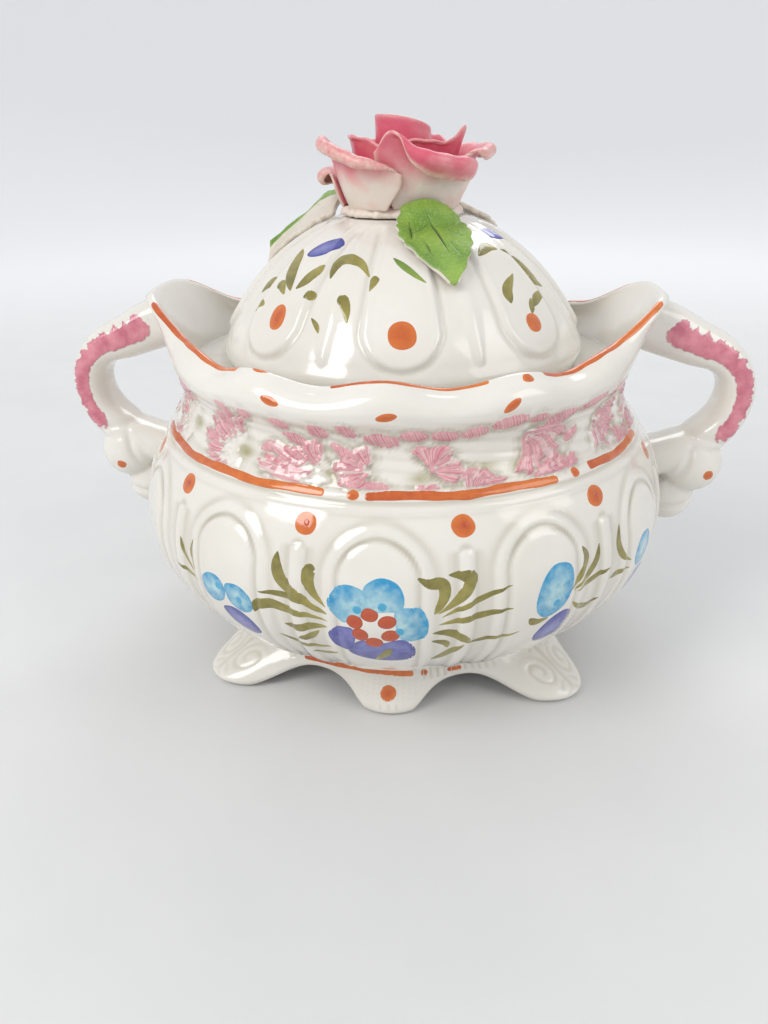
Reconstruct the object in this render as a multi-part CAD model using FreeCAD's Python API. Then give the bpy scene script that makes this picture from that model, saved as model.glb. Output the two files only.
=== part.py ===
import FreeCAD, Part
import math
import os
from FreeCAD import Vector

# Lidded tureen in glazed earthenware, standing on a lobed foot, with two strap handles
# and a lid crowned by a modelled rose. Millimetres, Z up, front at -Y, handles along X.

# Bowl: a round belly, a narrow neck and a collar that rises into a spout over each handle
BELLY_R = 112.0
BELLY_Z = 71.3
BELLY_DROP = 67.3
BELLY_RISE = 75.0
BASE_Z = 15.0
SHOULDER_ANGLE = 28.0
NECK_R = 93.6
NECK_Z = 114.0
WAIST_R = 91.6
WAIST_Z = 121.5
WALL = 5.0

# Arches raised round the belly in two tiers, each tier an azimuth half width and a crown height
ARCHES = 12
ARCH_TIER = 0.75
ARCH_OUTER = (9.3, 98.9)
ARCH_INNER = (6.5, 93.0)
ARCH_SPRING = 82.0
ARCH_FOOT = 23.0
ARCH_ROOT = 3.0

# Collar: profile from the waist to the lip as radius and height, at the front and at the spout
FRONT_PROFILE = ((WAIST_R, WAIST_Z), (92.6, 126.5), (99.5, 135.5), (89.0, 139.0))
SPOUT_PROFILE = ((WAIST_R, WAIST_Z), (92.5, 130.0), (97.0, 145.5), (104.0, 155.2))
LIP_WALL = 4.6
LIP_CROWN = 1.6
SPOUT_WIDTH = 22.0
SPOUT_FLAT = 4.0
SCALLOPS = 12
SCALLOP_RISE = 1.8
SCALLOP_SWELL = 1.2
RIM_COUNT = 144

# Gallery inside the neck that carries the lid
LEDGE_Z = 129.0
LEDGE_R = 87.2
LEDGE_TURN = 3.0
MOUTH_R = 66.0
LEDGE_T = 5.0
SEAT_GAP = 0.3
MOUTH_GAP = 2.5

# Foot: a hollow skirt that flares into four broad paws and a smaller drop at the front and back
PAW_AZIMUTH = 51.5
PAW_WIDTH = 14.5
PAW_SPLAY = 25.5
DROP_WIDTH = 12.0
DROP_SPLAY = 7.3
LOBE_FLAT = 2.2
FOOT_R = 72.5
FOOT_WALL = 7.0
FOOT_ARCH = 11.5
FOOT_PAD = 0.72

# Lid: a bell-shaped dome with a locating ring underneath
LID_EDGE_R = 71.5
LID_SWELL_R = 73.5
LID_SWELL_Z = 135.5
LID_PROFILE = ((71.4, 143.5), (66.8, 151.5), (59.0, 161.6), (49.6, 170.6), (39.0, 178.0), (30.0, 182.3))
LID_FLAT_R = 25.5
LID_TOP_Z = 183.8
LID_WALL = 5.0
LID_RING_DEEP = 9.0

# Tongues raised on the dome, with half-round lower ends
TONGUES = 8
TONGUE_AZIMUTH = 4.0
TONGUE_HALF = 11.7
TONGUE_TIER = 0.8
TONGUE_ROOT = 2.4
TONGUE_LOW_Z = 140.8

# Handle: a strap path as distance out from the belly, height and thickness, from the spout downward
STRAP = (
    (-20.0, 145.0, 22.0),
    (-6.0, 140.2, 21.5),
    (6.0, 135.2, 19.0),
    (17.0, 130.8, 16.0),
    (24.0, 123.4, 14.5),
    (26.0, 113.5, 14.5),
    (22.8, 103.0, 15.0),
    (14.6, 93.8, 16.0),
    (4.0, 88.0, 16.5),
    (-10.0, 84.0, 17.0),
)
STRAP_W = 23.0
KNOB_UPPER = (12.6, 83.6, 13.6, 14.0)
KNOB_LOWER = (5.0, 67.6, 11.4, 11.0)
KNOB_ROUND = 0.7

# Rose: pad, bud and coil, then petals that share root and lip radii in each ring and give
# azimuth, half width, height, slant of the lip, outward curl and ruffle
PAD_R = 25.0
PAD_T = 3.4
PETAL_ROOT_T = 2.2
PETAL_LIP_T = 1.6
BUD_R = 6.6
BUD_H = 27.0
COIL_R = 10.2
COIL_TAPER = 1.0
COIL_TURN = 364.0
COIL_AZIMUTH = -70.0
COIL_H = 31.6
INNER_ROOT_R = 15.6
INNER_LIP_R = 19.0
INNER_H = 26.0
INNER_PETALS = (
    (-78.0, 74.0, 26.5, 0.0, 1.2, 0.3),
    (42.0, 74.0, 24.6, -0.08, 1.6, 0.3),
    (162.0, 74.0, 27.0, 0.05, 1.2, 0.3),
)
OUTER_ROOT_R = 21.0
OUTER_LIP_R = 29.5
OUTER_H = 23.0
OUTER_PETALS = (
    (-42.0, 46.0, 22.0, -0.32, 5.5, 0.5),
    (28.0, 46.0, 22.0, -0.14, 7.5, 0.5),
    (102.0, 46.0, 23.0, 0.08, 7.0, 1.2),
    (176.0, 46.0, 23.0, -0.1, 4.5, 0.8),
    (252.0, 36.0, 15.5, 0.0, 6.0, 0.8),
)
PETAL_TWIST = 1.5

# Leaves lying on the lid round the rose: azimuth and how far the edge lifts
LEAVES = {"leaf_front": (22.0, 1.6), "leaf_left": (-100.0, 4.5), "leaf_right": (140.0, 4.5)}
LEAF_ROOT_R = 26.5
LEAF_TIP_R = 58.0
LEAF_HALF = 18.0
LEAF_T = 2.2
LEAF_GAP = 0.3

os.makedirs("parts", exist_ok=True)


def polar(radius, angle, height):
    """Point at an azimuth measured from the front, positive towards +X."""
    turn = math.radians(angle)
    return Vector(radius * math.sin(turn), -radius * math.cos(turn), height)


def closed_wire(points):
    curve = Part.BSplineCurve()
    curve.interpolate(points, PeriodicFlag=True)
    return Part.Wire(curve.toShape())


def ring(shape, count):
    """Closed wire through points of shape(angle) = (radius, height)."""
    angles = [360.0 * i / count for i in range(round(count))]
    return closed_wire([polar(shape(a)[0], a, shape(a)[1]) for a in angles])


def wave_tool(height, inner, outer, reach):
    """Solid swept up or down from a wavy sheet whose height follows the azimuth."""
    low = ring(lambda a: (inner, height(a)), RIM_COUNT)
    high = ring(lambda a: (outer, height(a)), RIM_COUNT)
    sheet_face = Part.makeRuledSurface(low.Edges[0], high.Edges[0])
    return sheet_face.extrude(Vector(0, 0, reach))


def spline(points):
    curve = Part.BSplineCurve()
    curve.interpolate([Vector(r, 0, z) for r, z in points])
    return curve.toShape()


def line(start, end):
    return Part.makeLine(Vector(start[0], 0, start[1]), Vector(end[0], 0, end[1]))


def turned(edges):
    """Solid of revolution about Z from a closed run of edges in the XZ plane."""
    face = Part.Face(Part.Wire(edges))
    return outward(face.revolve(Vector(0, 0, 0), Vector(0, 0, 1), 360))


def outward(solid):
    """The same solid with its faces turned to the outside."""
    if solid.Volume < 0:
        solid.reverse()
    return solid


def sheet(point, thick, across, along):
    """Thin solid on both sides of point(u, v), u in -1..1, v in 0..1, flat at v = 0."""
    sides = []
    step = 0.002
    for side in (-0.5, 0.5):
        rows = []
        for j in range(along + 1):
            v = j / along
            row = []
            for i in range(across + 1):
                u = 2.0 * i / across - 1.0
                here = point(u, v)
                du = point(u + step, v) - point(u - step, v)
                dv = point(u, min(v + step, 1.0)) - point(u, max(v - step, 0.0))
                normal = du.cross(dv)
                if j == 0:
                    normal.z = 0.0
                normal.normalize()
                row.append(here + normal * side * thick(v))
            rows.append(row)
        surface = Part.BSplineSurface()
        surface.interpolate(rows)
        sides.append(surface)
    back, front = sides
    u0, u1, v0, v1 = back.bounds()
    faces = [back.toShape(), front.toShape()]
    for value in (u0, u1):
        faces.append(Part.makeRuledSurface(back.uIso(value).toShape(), front.uIso(value).toShape()))
    for value in (v0, v1):
        faces.append(Part.makeRuledSurface(back.vIso(value).toShape(), front.vIso(value).toShape()))
    shell = Part.makeShell(faces)
    shell.sewShape()
    return outward(Part.makeSolid(shell))


def spout(angle):
    """One over each handle, falling to nothing at the front and back."""
    off = abs((angle + 180.0) % 360.0 - 180.0) - 90.0
    return math.exp(-(abs(off / SPOUT_WIDTH) ** SPOUT_FLAT))


def bezier(points, t):
    weights = ((1 - t) ** 3, 3 * t * (1 - t) ** 2, 3 * t * t * (1 - t), t ** 3)
    return [sum(w * p[k] for w, p in zip(weights, points)) for k in (0, 1)]


def well(profile):
    """Inside of a collar profile: one lip wall further in, rising from the gallery."""
    start = (LEDGE_R, LEDGE_Z)
    turn = (profile[1][0] - LIP_WALL, LEDGE_Z + LEDGE_TURN)
    return (start, turn) + tuple((r - LIP_WALL, z) for r, z in profile[2:])


def collar(t, front, side, inset=0.0, crown=0.0):
    """Closed wire at a share of the collar's rise: front blended into spout, with scallops."""
    plain = bezier(front, t)
    pulled = bezier(side, t)

    def shape(angle):
        g = spout(angle)
        wave = math.cos(math.radians(SCALLOPS * angle)) * (1.0 - g) * t * t
        radius = plain[0] + (pulled[0] - plain[0]) * g + SCALLOP_SWELL * wave - inset
        height = plain[1] + (pulled[1] - plain[1]) * g + SCALLOP_RISE * wave + crown
        return radius, height
    return ring(shape, RIM_COUNT)


def belly(angle, inset):
    turn = math.radians(angle)
    tall = BELLY_RISE if angle > 0 else BELLY_DROP
    return (BELLY_R - inset) * math.cos(turn), BELLY_Z + (tall - inset) * math.sin(turn)


# Collar skins: outside, rounded lip, and the well inside that drops to the gallery
levels = (0.0, 0.25, 0.5, 0.75, 1.0)
outer_rings = [collar(t, FRONT_PROFILE, SPOUT_PROFILE) for t in levels]
inner_rings = [collar(t, well(FRONT_PROFILE), well(SPOUT_PROFILE)) for t in levels]
crown_ring = collar(1.0, FRONT_PROFILE, SPOUT_PROFILE, 0.5 * LIP_WALL, LIP_CROWN)
skins = [Part.makeLoft(outer_rings, False, False), Part.makeLoft(inner_rings, False, False)]
skins.append(Part.makeLoft([outer_rings[-1], crown_ring, inner_rings[-1]], False, False))

# Bowl: base, belly, shoulder and neck outside; floor, belly, mouth and gallery inside
base_angle = math.degrees(math.asin((BASE_Z - BELLY_Z) / BELLY_DROP))
floor_z = BASE_Z + WALL
floor_angle = math.degrees(math.asin((floor_z - BELLY_Z) / (BELLY_DROP - WALL)))
ground = 2.0 * ARCH_TIER
outside = [belly(a, ground) for a in (base_angle, -40.0, -20.0, 0.0, 14.0, 22.0)]
outside.append(belly(SHOULDER_ANGLE, 0.0))
inside = [belly(a, WALL) for a in (SHOULDER_ANGLE, 14.0, 0.0, -20.0, -40.0, floor_angle)]
mouth_low = (MOUTH_R, LEDGE_Z - LEDGE_T)
turned_edges = [
    line((0, BASE_Z), outside[0]),
    spline(outside),
    spline([outside[-1], (NECK_R, NECK_Z), (WAIST_R, WAIST_Z)]),
    line((LEDGE_R, LEDGE_Z), (MOUTH_R, LEDGE_Z)),
    line((MOUTH_R, LEDGE_Z), mouth_low),
    line(mouth_low, inside[0]),
    spline(inside),
    line(inside[-1], (0, floor_z)),
]
bowl_faces = [e.revolve(Vector(0, 0, 0), Vector(0, 0, 1), 360) for e in turned_edges]
bowl_shell = Part.makeShell(bowl_faces + [face for skin in skins for face in skin.Faces])
bowl_shell.sewShape(0.001)
bowl = outward(Part.makeSolid(bowl_shell))


def belly_coat(inset):
    """Coat on the belly from below its ground up to an inset from the full outline."""
    angles = (base_angle + 6.0, -40.0, -20.0, 0.0, 14.0, SHOULDER_ANGLE - 4.0)
    skin = [belly(a, inset) for a in angles]
    root = [belly(a, ARCH_ROOT) for a in reversed(angles)]
    return turned([spline(skin), line(skin[-1], root[0]), spline(root), line(root[-1], skin[0])])


def arch(half_angle, crown, inset):
    """Arch at the front: sides at a constant azimuth, half-round head, trimmed to the belly's coat."""
    heights = [ARCH_FOOT + (ARCH_SPRING - ARCH_FOOT) * k / 4.0 for k in range(5)]
    width = math.sin(math.radians(half_angle))
    reach = []
    for height in heights:
        tall = BELLY_RISE if height > BELLY_Z else BELLY_DROP
        reach.append(BELLY_R * width * math.sqrt(1.0 - ((height - BELLY_Z) / tall) ** 2))
    left = [Vector(-x, 0, z) for x, z in zip(reach, heights)]
    right = [Vector(x, 0, z) for x, z in zip(reach, heights)]
    head = Part.Arc(left[-1], Vector(0, 0, crown), right[-1]).toShape()
    sides = []
    for points in (left, right):
        side = Part.BSplineCurve()
        side.interpolate(points)
        sides.append(side.toShape())
    outline = Part.Wire([sides[0], head, sides[1], Part.makeLine(right[0], left[0])])
    prism = Part.Face(outline).extrude(Vector(0, -1.5 * BELLY_R, 0))
    return prism.common(belly_coat(inset))


pads = []
for half_angle, crown, inset in (ARCH_OUTER + (ARCH_TIER,), ARCH_INNER + (0.0,)):
    pad = arch(half_angle, crown, inset)
    for number in range(ARCHES):
        turned_pad = pad.copy()
        turned_pad.rotate(Vector(0, 0, 0), Vector(0, 0, 1), 360.0 * number / ARCHES)
        pads.append(turned_pad)
bowl = bowl.fuse(pads).Solids[0]
bowl.exportStep("parts/bowl.step")

# Foot skirt, arched between its paws and drops and closed on the underside of the belly


def bump(angle, middle, width):
    """One at an azimuth, falling to nothing on both sides of it."""
    off = abs((angle - middle + 180.0) % 360.0 - 180.0)
    return math.exp(-((off / width) ** LOBE_FLAT))


def drops(angle):
    return bump(angle, 0.0, DROP_WIDTH) + bump(angle, 180.0, DROP_WIDTH)


def paws(angle):
    corners = (PAW_AZIMUTH, 180.0 - PAW_AZIMUTH, 180.0 + PAW_AZIMUTH, -PAW_AZIMUTH)
    return sum(bump(angle, corner, PAW_WIDTH) for corner in corners)


def foot_section(height, radius, share):
    def shape(angle):
        return radius + share * (DROP_SPLAY * drops(angle) + PAW_SPLAY * paws(angle)), height
    return ring(shape, RIM_COUNT)


def arch_height(angle):
    return FOOT_ARCH * (1.0 - (drops(angle) + paws(angle)) / FOOT_PAD)


foot_levels = ((22.0, -2.0, 0.0), (16.0, -1.5, 0.2), (9.0, -0.5, 0.7), (4.0, 0.0, 1.0))
foot_outer = [foot_section(z, FOOT_R + r, s) for z, r, s in foot_levels]
foot_outer.append(foot_section(0.0, FOOT_R, 0.95))
foot_inner = [foot_section(z, FOOT_R + r - FOOT_WALL, s) for z, r, s in foot_levels]
foot_inner.append(foot_section(-0.5, FOOT_R - FOOT_WALL, 0.95))
foot = Part.makeLoft(foot_outer, True, False).cut(Part.makeLoft(foot_inner, True, False))
foot = foot.cut(wave_tool(arch_height, 0.5 * FOOT_R, 1.8 * FOOT_R, -3.0 * FOOT_ARCH)).cut(bowl)
foot = max(foot.Solids, key=lambda solid: solid.Volume)
foot.exportStep("parts/foot_skirt.step")

# Handles: a strap lofted along its path with a two-lobed scroll at the lower end


def strap_section(index):
    before = STRAP[max(index - 1, 0)]
    after = STRAP[min(index + 1, len(STRAP) - 1)]
    along = Vector(after[0] - before[0], 0, after[1] - before[1]).normalize()
    across = Vector(along.z, 0, -along.x)
    middle = Vector(BELLY_R + STRAP[index][0], 0, STRAP[index][1])
    points = []
    for k in range(16):
        turn = math.radians(22.5 * k)
        c = math.copysign(abs(math.cos(turn)) ** 0.75, math.cos(turn))
        s = math.copysign(abs(math.sin(turn)) ** 0.75, math.sin(turn))
        points.append(middle + across * (0.5 * STRAP[index][2] * c) + Vector(0, 0.5 * STRAP_W * s, 0))
    return closed_wire(points)


def knob(out, middle_z, radius, half_width):
    """Lobe of the scroll: a short roller along Y with deeply rounded ends."""
    start = Vector(BELLY_R + out, -half_width, middle_z)
    roller = Part.makeCylinder(radius, 2.0 * half_width, start, Vector(0, 1, 0))
    rims = [e for e in roller.Edges if e.Curve.TypeId == "Part::GeomCircle"]
    return roller.makeFillet(KNOB_ROUND * min(radius, half_width), rims)


strap = Part.makeLoft([strap_section(i) for i in range(len(STRAP))], True, False)
handle = strap.fuse(knob(*KNOB_UPPER)).fuse(knob(*KNOB_LOWER)).cut(bowl)
handle_right = max(handle.Solids, key=lambda solid: solid.Volume)
handle_left = handle_right.mirror(Vector(0, 0, 0), Vector(1, 0, 0))
handle_right.exportStep("parts/handle_right.step")
handle_left.exportStep("parts/handle_left.step")

# Lid: dome with a rolled edge, a flat seat for the rose and a ring that drops into the mouth
seat_z = LEDGE_Z + SEAT_GAP
ring_r = MOUTH_R - MOUTH_GAP
dome = [(LID_EDGE_R, seat_z), (LID_SWELL_R, LID_SWELL_Z)] + list(LID_PROFILE) + [(LID_FLAT_R, LID_TOP_Z)]
under = [(r - 0.78 * LID_WALL, z - 0.72 * LID_WALL) for r, z in LID_PROFILE]
under_start = (ring_r - LID_WALL, seat_z + 6.0)
under_end = (0, LID_TOP_Z - LID_WALL)


def sunk(depth, at_swell):
    """Dome profile below its full outline, meeting it at the seat and at the flat top."""
    body = [(r - 0.78 * depth, z - 0.72 * depth) for r, z in LID_PROFILE]
    return [dome[0], (LID_SWELL_R - at_swell, LID_SWELL_Z)] + body + [dome[-1]]


lid = turned([
    spline(sunk(TONGUE_TIER, 0.0)),
    line(dome[-1], (0, LID_TOP_Z)),
    line((0, LID_TOP_Z), under_end),
    line(under_end, under[-1]),
    spline(list(reversed(under))),
    line(under[0], under_start),
    line(under_start, (ring_r - LID_WALL, seat_z - LID_RING_DEEP)),
    line((ring_r - LID_WALL, seat_z - LID_RING_DEEP), (ring_r, seat_z - LID_RING_DEEP)),
    line((ring_r, seat_z - LID_RING_DEEP), (ring_r, seat_z)),
    line((ring_r, seat_z), dome[0]),
])
root = list(reversed(sunk(TONGUE_ROOT, TONGUE_ROOT)))
coat = turned([spline(dome), spline(root)])
tongue_width = math.sin(math.radians(TONGUE_HALF))
left = [Vector(-r * tongue_width, 0, z) for r, z in LID_PROFILE[1:]]
right = [Vector(r * tongue_width, 0, z) for r, z in LID_PROFILE[1:]]
low_end = Part.Arc(left[0], Vector(0, 0, TONGUE_LOW_Z), right[0]).toShape()
edges = [low_end, Part.makeLine(left[-1], right[-1])]
for points in (left, right):
    side = Part.BSplineCurve()
    side.interpolate(points)
    edges.append(side.toShape())
outline = Part.Wire(Part.sortEdges(edges)[0])
tongue = Part.Face(outline).extrude(Vector(0, -1.5 * LID_SWELL_R, 0)).common(coat)
tongues = []
for number in range(TONGUES):
    turned_tongue = tongue.copy()
    turned_tongue.rotate(Vector(0, 0, 0), Vector(0, 0, 1), TONGUE_AZIMUTH + 360.0 * number / TONGUES)
    tongues.append(turned_tongue)
lid = lid.fuse(tongues).Solids[0]
lid.exportStep("parts/lid.step")

# Rose pad and bud
root_z = LID_TOP_Z + PAD_T
pad_edge = Part.Arc(
    Vector(PAD_R - 0.5 * PAD_T, 0, LID_TOP_Z),
    Vector(PAD_R, 0, LID_TOP_Z + 0.5 * PAD_T),
    Vector(PAD_R - 0.5 * PAD_T, 0, root_z),
).toShape()
pad = turned([
    line((0, LID_TOP_Z), (PAD_R - 0.5 * PAD_T, LID_TOP_Z)),
    pad_edge,
    line((PAD_R - 0.5 * PAD_T, root_z), (0, root_z)),
    line((0, root_z), (0, LID_TOP_Z)),
])
pad.exportStep("parts/rose_pad.step")
bud_points = [(BUD_R * w, root_z + BUD_H * t) for w, t in ((0.85, 0.0), (1.0, 0.35), (0.8, 0.75), (0.3, 1.0))]
bud = turned([
    line((0, root_z), bud_points[0]),
    spline(bud_points),
    line(bud_points[-1], (0, root_z + BUD_H)),
    line((0, root_z + BUD_H), (0, root_z)),
])
bud.exportStep("parts/rose_bud.step")


def petal_thick(v):
    return PETAL_ROOT_T + (PETAL_LIP_T - PETAL_ROOT_T) * v


def petal(data, root_r, lip_r, ring_h):
    """Cupped petal: wraps the axis, lies outside one neighbour and inside the next, curls at the lip."""
    azimuth, half, tall, slant, curl, ruffle = data

    def point(u, v):
        width = 0.72 + 0.28 * math.sin(min(v, 0.7) / 0.7 * math.pi / 2)
        roll = max(v - 0.6, 0.0) / 0.4
        open_out = curl * roll ** 2 * (1.0 - u * u) ** 2
        rise = tall * v * (1.0 + slant * u) * (1.0 - 0.26 * u * u * v)
        radius = root_r + (lip_r - root_r) * (rise / ring_h) ** 0.8 + PETAL_TWIST * u + open_out
        radius += ruffle * math.sin(4.0 * u) * roll * (1.0 - u * u)
        return polar(radius, azimuth + half * u * width, root_z + rise - 0.3 * open_out)

    return sheet(point, petal_thick, 8, 6)


def coil_point(u, v):
    radius = COIL_R - COIL_TAPER * v + PETAL_TWIST * u
    height = COIL_H * v * (0.93 + 0.07 * math.cos(2.0 * u))
    return polar(radius, COIL_AZIMUTH + 0.5 * COIL_TURN * u, root_z + height)


coil = sheet(coil_point, petal_thick, 20, 5)
coil.exportStep("parts/rose_coil.step")
for number, data in enumerate(INNER_PETALS, 1):
    petal(data, INNER_ROOT_R, INNER_LIP_R, INNER_H).exportStep("parts/rose_inner_%d.step" % number)
for number, data in enumerate(OUTER_PETALS, 1):
    petal(data, OUTER_ROOT_R, OUTER_LIP_R, OUTER_H).exportStep("parts/rose_outer_%d.step" % number)

# Leaves: heart-shaped blades that follow the dome, lifting along their edges
dome_edge = spline(dome).Curve


def dome_at(radius):
    """Height and slope of the dome outside the flat top at a radius."""
    low = 0.0
    high = 1.0
    last = dome_edge.LastParameter
    start = dome_edge.parameter(Vector(LID_SWELL_R, 0, LID_SWELL_Z))
    for _ in range(40):
        mid = 0.5 * (low + high)
        if dome_edge.value(start + (last - start) * mid).x > radius:
            low = mid
        else:
            high = mid
    return dome_edge.value(start + (last - start) * low).z


def leaf(azimuth, lift):
    def point(u, v):
        along = min(max(v, 0.0), 1.0)
        radius = LEAF_ROOT_R + (LEAF_TIP_R - LEAF_ROOT_R) * v
        half = LEAF_HALF * (0.35 + 0.65 * math.sin(math.pi * min(along * 1.35 + 0.12, 1.0) * 0.5))
        half *= 1.0 - 0.9 * along ** 2.2
        side = half * u
        turn = azimuth + math.degrees(side / radius)
        rise = LEAF_GAP + 0.5 * LEAF_T + lift * (u * u * 0.6 + 0.5 * along ** 2) * min(1.0, 3.0 * along)
        return polar(radius, turn, dome_at(radius) + rise * 1.1)

    return sheet(point, lambda v: LEAF_T - 0.8 * v, 6, 8)


for name, (azimuth, lift) in LEAVES.items():
    leaf(azimuth, lift).exportStep("parts/%s.step" % name)
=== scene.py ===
import bmesh
import bpy
import math
import numpy as np
from mathutils import Matrix, Vector


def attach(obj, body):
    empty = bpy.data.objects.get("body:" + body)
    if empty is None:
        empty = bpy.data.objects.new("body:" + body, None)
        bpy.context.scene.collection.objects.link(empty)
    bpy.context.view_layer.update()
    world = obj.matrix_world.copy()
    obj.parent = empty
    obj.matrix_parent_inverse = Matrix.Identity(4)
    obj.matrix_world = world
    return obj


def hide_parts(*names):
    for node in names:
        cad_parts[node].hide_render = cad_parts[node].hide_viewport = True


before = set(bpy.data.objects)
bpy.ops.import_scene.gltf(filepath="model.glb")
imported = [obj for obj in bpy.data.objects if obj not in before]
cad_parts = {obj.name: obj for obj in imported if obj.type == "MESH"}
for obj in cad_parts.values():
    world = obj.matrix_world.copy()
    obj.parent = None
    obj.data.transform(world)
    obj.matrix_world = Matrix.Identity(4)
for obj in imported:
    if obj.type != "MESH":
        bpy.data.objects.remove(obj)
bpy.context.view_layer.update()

# The studio: a broad pale floor that sweeps up into a wall all round, a large soft lamp on the left like a
# window, a weaker one on the right and a small one behind. The floor's colour is painted brighter toward the wall,
# painted light that makes up for the lamps' falloff there. The camera stands where the picture was taken.
MM = 0.001
FLOOR_FLAT = 1.4
FLOOR_BEND = 1.6
WALL_TOP = 2.2
FLOOR_SPOKES = 72


def shader(name):
    """A new node material: the material, its tree and its main shader."""
    material = bpy.data.materials.new(name)
    material.use_nodes = True
    return material, material.node_tree, material.node_tree.nodes["Principled BSDF"]


def add(tree, kind, values=None, **settings):
    """A node of one kind with its settings, and its sockets filled with values or joined to other sockets."""
    made = tree.nodes.new(kind)
    for key, value in settings.items():
        setattr(made, key, value)
    for key, value in (values or {}).items():
        if isinstance(value, bpy.types.NodeSocket):
            tree.links.new(value, made.inputs[key])
        else:
            made.inputs[key].default_value = value
    return made


sweep = [(FLOOR_FLAT * share, 0.0) for share in (0.04, 0.1, 0.2, 0.35, 0.5, 0.7, 1.0)]
for step in range(1, 13):
    turn = 0.5 * math.pi * step / 12
    sweep.append((FLOOR_FLAT + FLOOR_BEND * math.sin(turn), FLOOR_BEND * (1.0 - math.cos(turn))))
sweep.append((FLOOR_FLAT + FLOOR_BEND, WALL_TOP))
floor_points = [(0.0, 0.0, 0.0)]
floor_faces = []
for ring, (radius, height) in enumerate(sweep):
    for spoke in range(FLOOR_SPOKES):
        turn = 2.0 * math.pi * spoke / FLOOR_SPOKES
        floor_points.append((radius * math.cos(turn), radius * math.sin(turn), height))
        after = (spoke + 1) % FLOOR_SPOKES
        here, there = 1 + ring * FLOOR_SPOKES + spoke, 1 + ring * FLOOR_SPOKES + after
        if ring:
            floor_faces.append((here - FLOOR_SPOKES, here, there, there - FLOOR_SPOKES))
        else:
            floor_faces.append((0, here, there))
floor_mesh = bpy.data.meshes.new("floor")
floor_mesh.from_pydata(floor_points, [], floor_faces)
floor_mesh.shade_smooth()
floor = bpy.data.objects.new("floor", floor_mesh)
bpy.context.collection.objects.link(floor)
floor_paper, tree, surface = shader("floor_paper")
place = add(tree, "ShaderNodeTexCoord")
fibre = add(tree, "ShaderNodeTexNoise", {"Vector": place.outputs["Object"], "Scale": 18.0, "Detail": 6.0})
paper = add(tree, "ShaderNodeValToRGB", {"Fac": fibre.outputs["Fac"]})
paper.color_ramp.elements[0].color = (0.66, 0.66, 0.66, 1.0)
paper.color_ramp.elements[1].color = (0.72, 0.72, 0.71, 1.0)
# Painted light: the paper grows brighter with distance from the middle, up to near white on the wall, to make up for
# the lamps' light falling off there.
away = add(tree, "ShaderNodeVectorMath", {0: place.outputs["Object"]}, operation="LENGTH")
painted_brightening = add(tree, "ShaderNodeMapRange", {"Value": away.outputs["Value"], "From Min": 0.4, "From Max": 1.5},
            interpolation_type="SMOOTHSTEP")
wall = add(tree, "ShaderNodeMix", {"Factor": painted_brightening.outputs["Result"], 6: paper.outputs["Color"], 7: (0.97, 0.97, 0.97, 1.0)},
           data_type="RGBA")
tree.links.new(wall.outputs[2], surface.inputs["Base Color"])
surface.inputs["Roughness"].default_value = 0.9
floor_mesh.materials.append(floor_paper)

world = bpy.data.worlds.new("sky")
bpy.context.scene.world = world
world.use_nodes = True
tree = world.node_tree
sky = tree.nodes["Background"]
sky.inputs["Color"].default_value = (0.93, 0.96, 1.0, 1.0)
sky.inputs["Strength"].default_value = 0.72


def lamp(name, where, size, power, tint):
    light = bpy.data.lights.new(name, "AREA")
    light.shape = "RECTANGLE"
    light.size, light.size_y = size
    light.energy = power
    light.color = tint
    holder = bpy.data.objects.new(name, light)
    holder.location = where
    holder.rotation_mode = "QUATERNION"
    holder.rotation_quaternion = (Vector((0, 0, 0.1)) - Vector(where)).to_track_quat("-Z", "Y")
    bpy.context.collection.objects.link(holder)


lamp("window_lamp", (-0.75, -0.75, 0.95), (0.55, 0.75), 8.0, (1.0, 0.98, 0.95))
lamp("room_lamp", (1.1, -0.5, 0.9), (0.8, 0.8), 4.0, (1.0, 0.97, 0.93))
lamp("back_lamp", (0.1, 1.1, 1.2), (1.2, 0.5), 6.0, (0.97, 0.98, 1.0))

CAMERA_PLACE = (0.02417, -0.32151, 0.21102)
CAMERA_RIGHT = (0.99529, 0.09632, -0.01082)
CAMERA_UP = (-0.03256, 0.43745, 0.89865)
CAMERA_AHEAD = (-0.09129, 0.89407, -0.43853)
lens = bpy.data.cameras.new("camera")
lens.lens = 27.04
lens.sensor_width = 36.0
lens.clip_start = 0.01
camera = bpy.data.objects.new("camera", lens)
turn = Matrix((CAMERA_RIGHT, CAMERA_UP, [-v for v in CAMERA_AHEAD])).transposed()
camera.matrix_world = Matrix.Translation(CAMERA_PLACE) @ turn.to_4x4()
bpy.context.collection.objects.link(camera)
bpy.context.scene.camera = camera
bpy.context.scene.view_settings.view_transform = "Standard"

# The bowl: slip-cast white earthenware with raised arches round the belly, a feathered band at the neck
# and a scalloped collar drawn up into a spout over each handle, under a thick glossy tin glaze.
BELLY_R = 112.0
BELLY_Z = 71.3
BELLY_DROP = 67.3
BELLY_RISE = 75.0
BASE_Z = 15.0
BOWL_WALL = 5.0
SHOULDER_R, SHOULDER_Z = 98.9, 106.5
NECK_R, NECK_Z = 93.6, 114.0
WAIST_R, WAIST_Z = 91.6, 121.5
FRONT_COLLAR = ((WAIST_R, WAIST_Z), (92.6, 126.5), (99.5, 135.5), (89.0, 139.0))
SPOUT_COLLAR = ((WAIST_R, WAIST_Z), (92.5, 130.0), (97.0, 145.5), (104.0, 155.2))
LIP_WALL = 4.6
LIP_CROWN = 1.6
SPOUT_WIDTH = 22.0
SPOUT_FLAT = 4.0
SCALLOPS = 12
SCALLOP_RISE = 1.8
SCALLOP_SWELL = 1.2
LEDGE_R = 87.2
LEDGE_Z = 129.0
MOUTH_R = 66.0
LEDGE_T = 5.0
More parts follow.
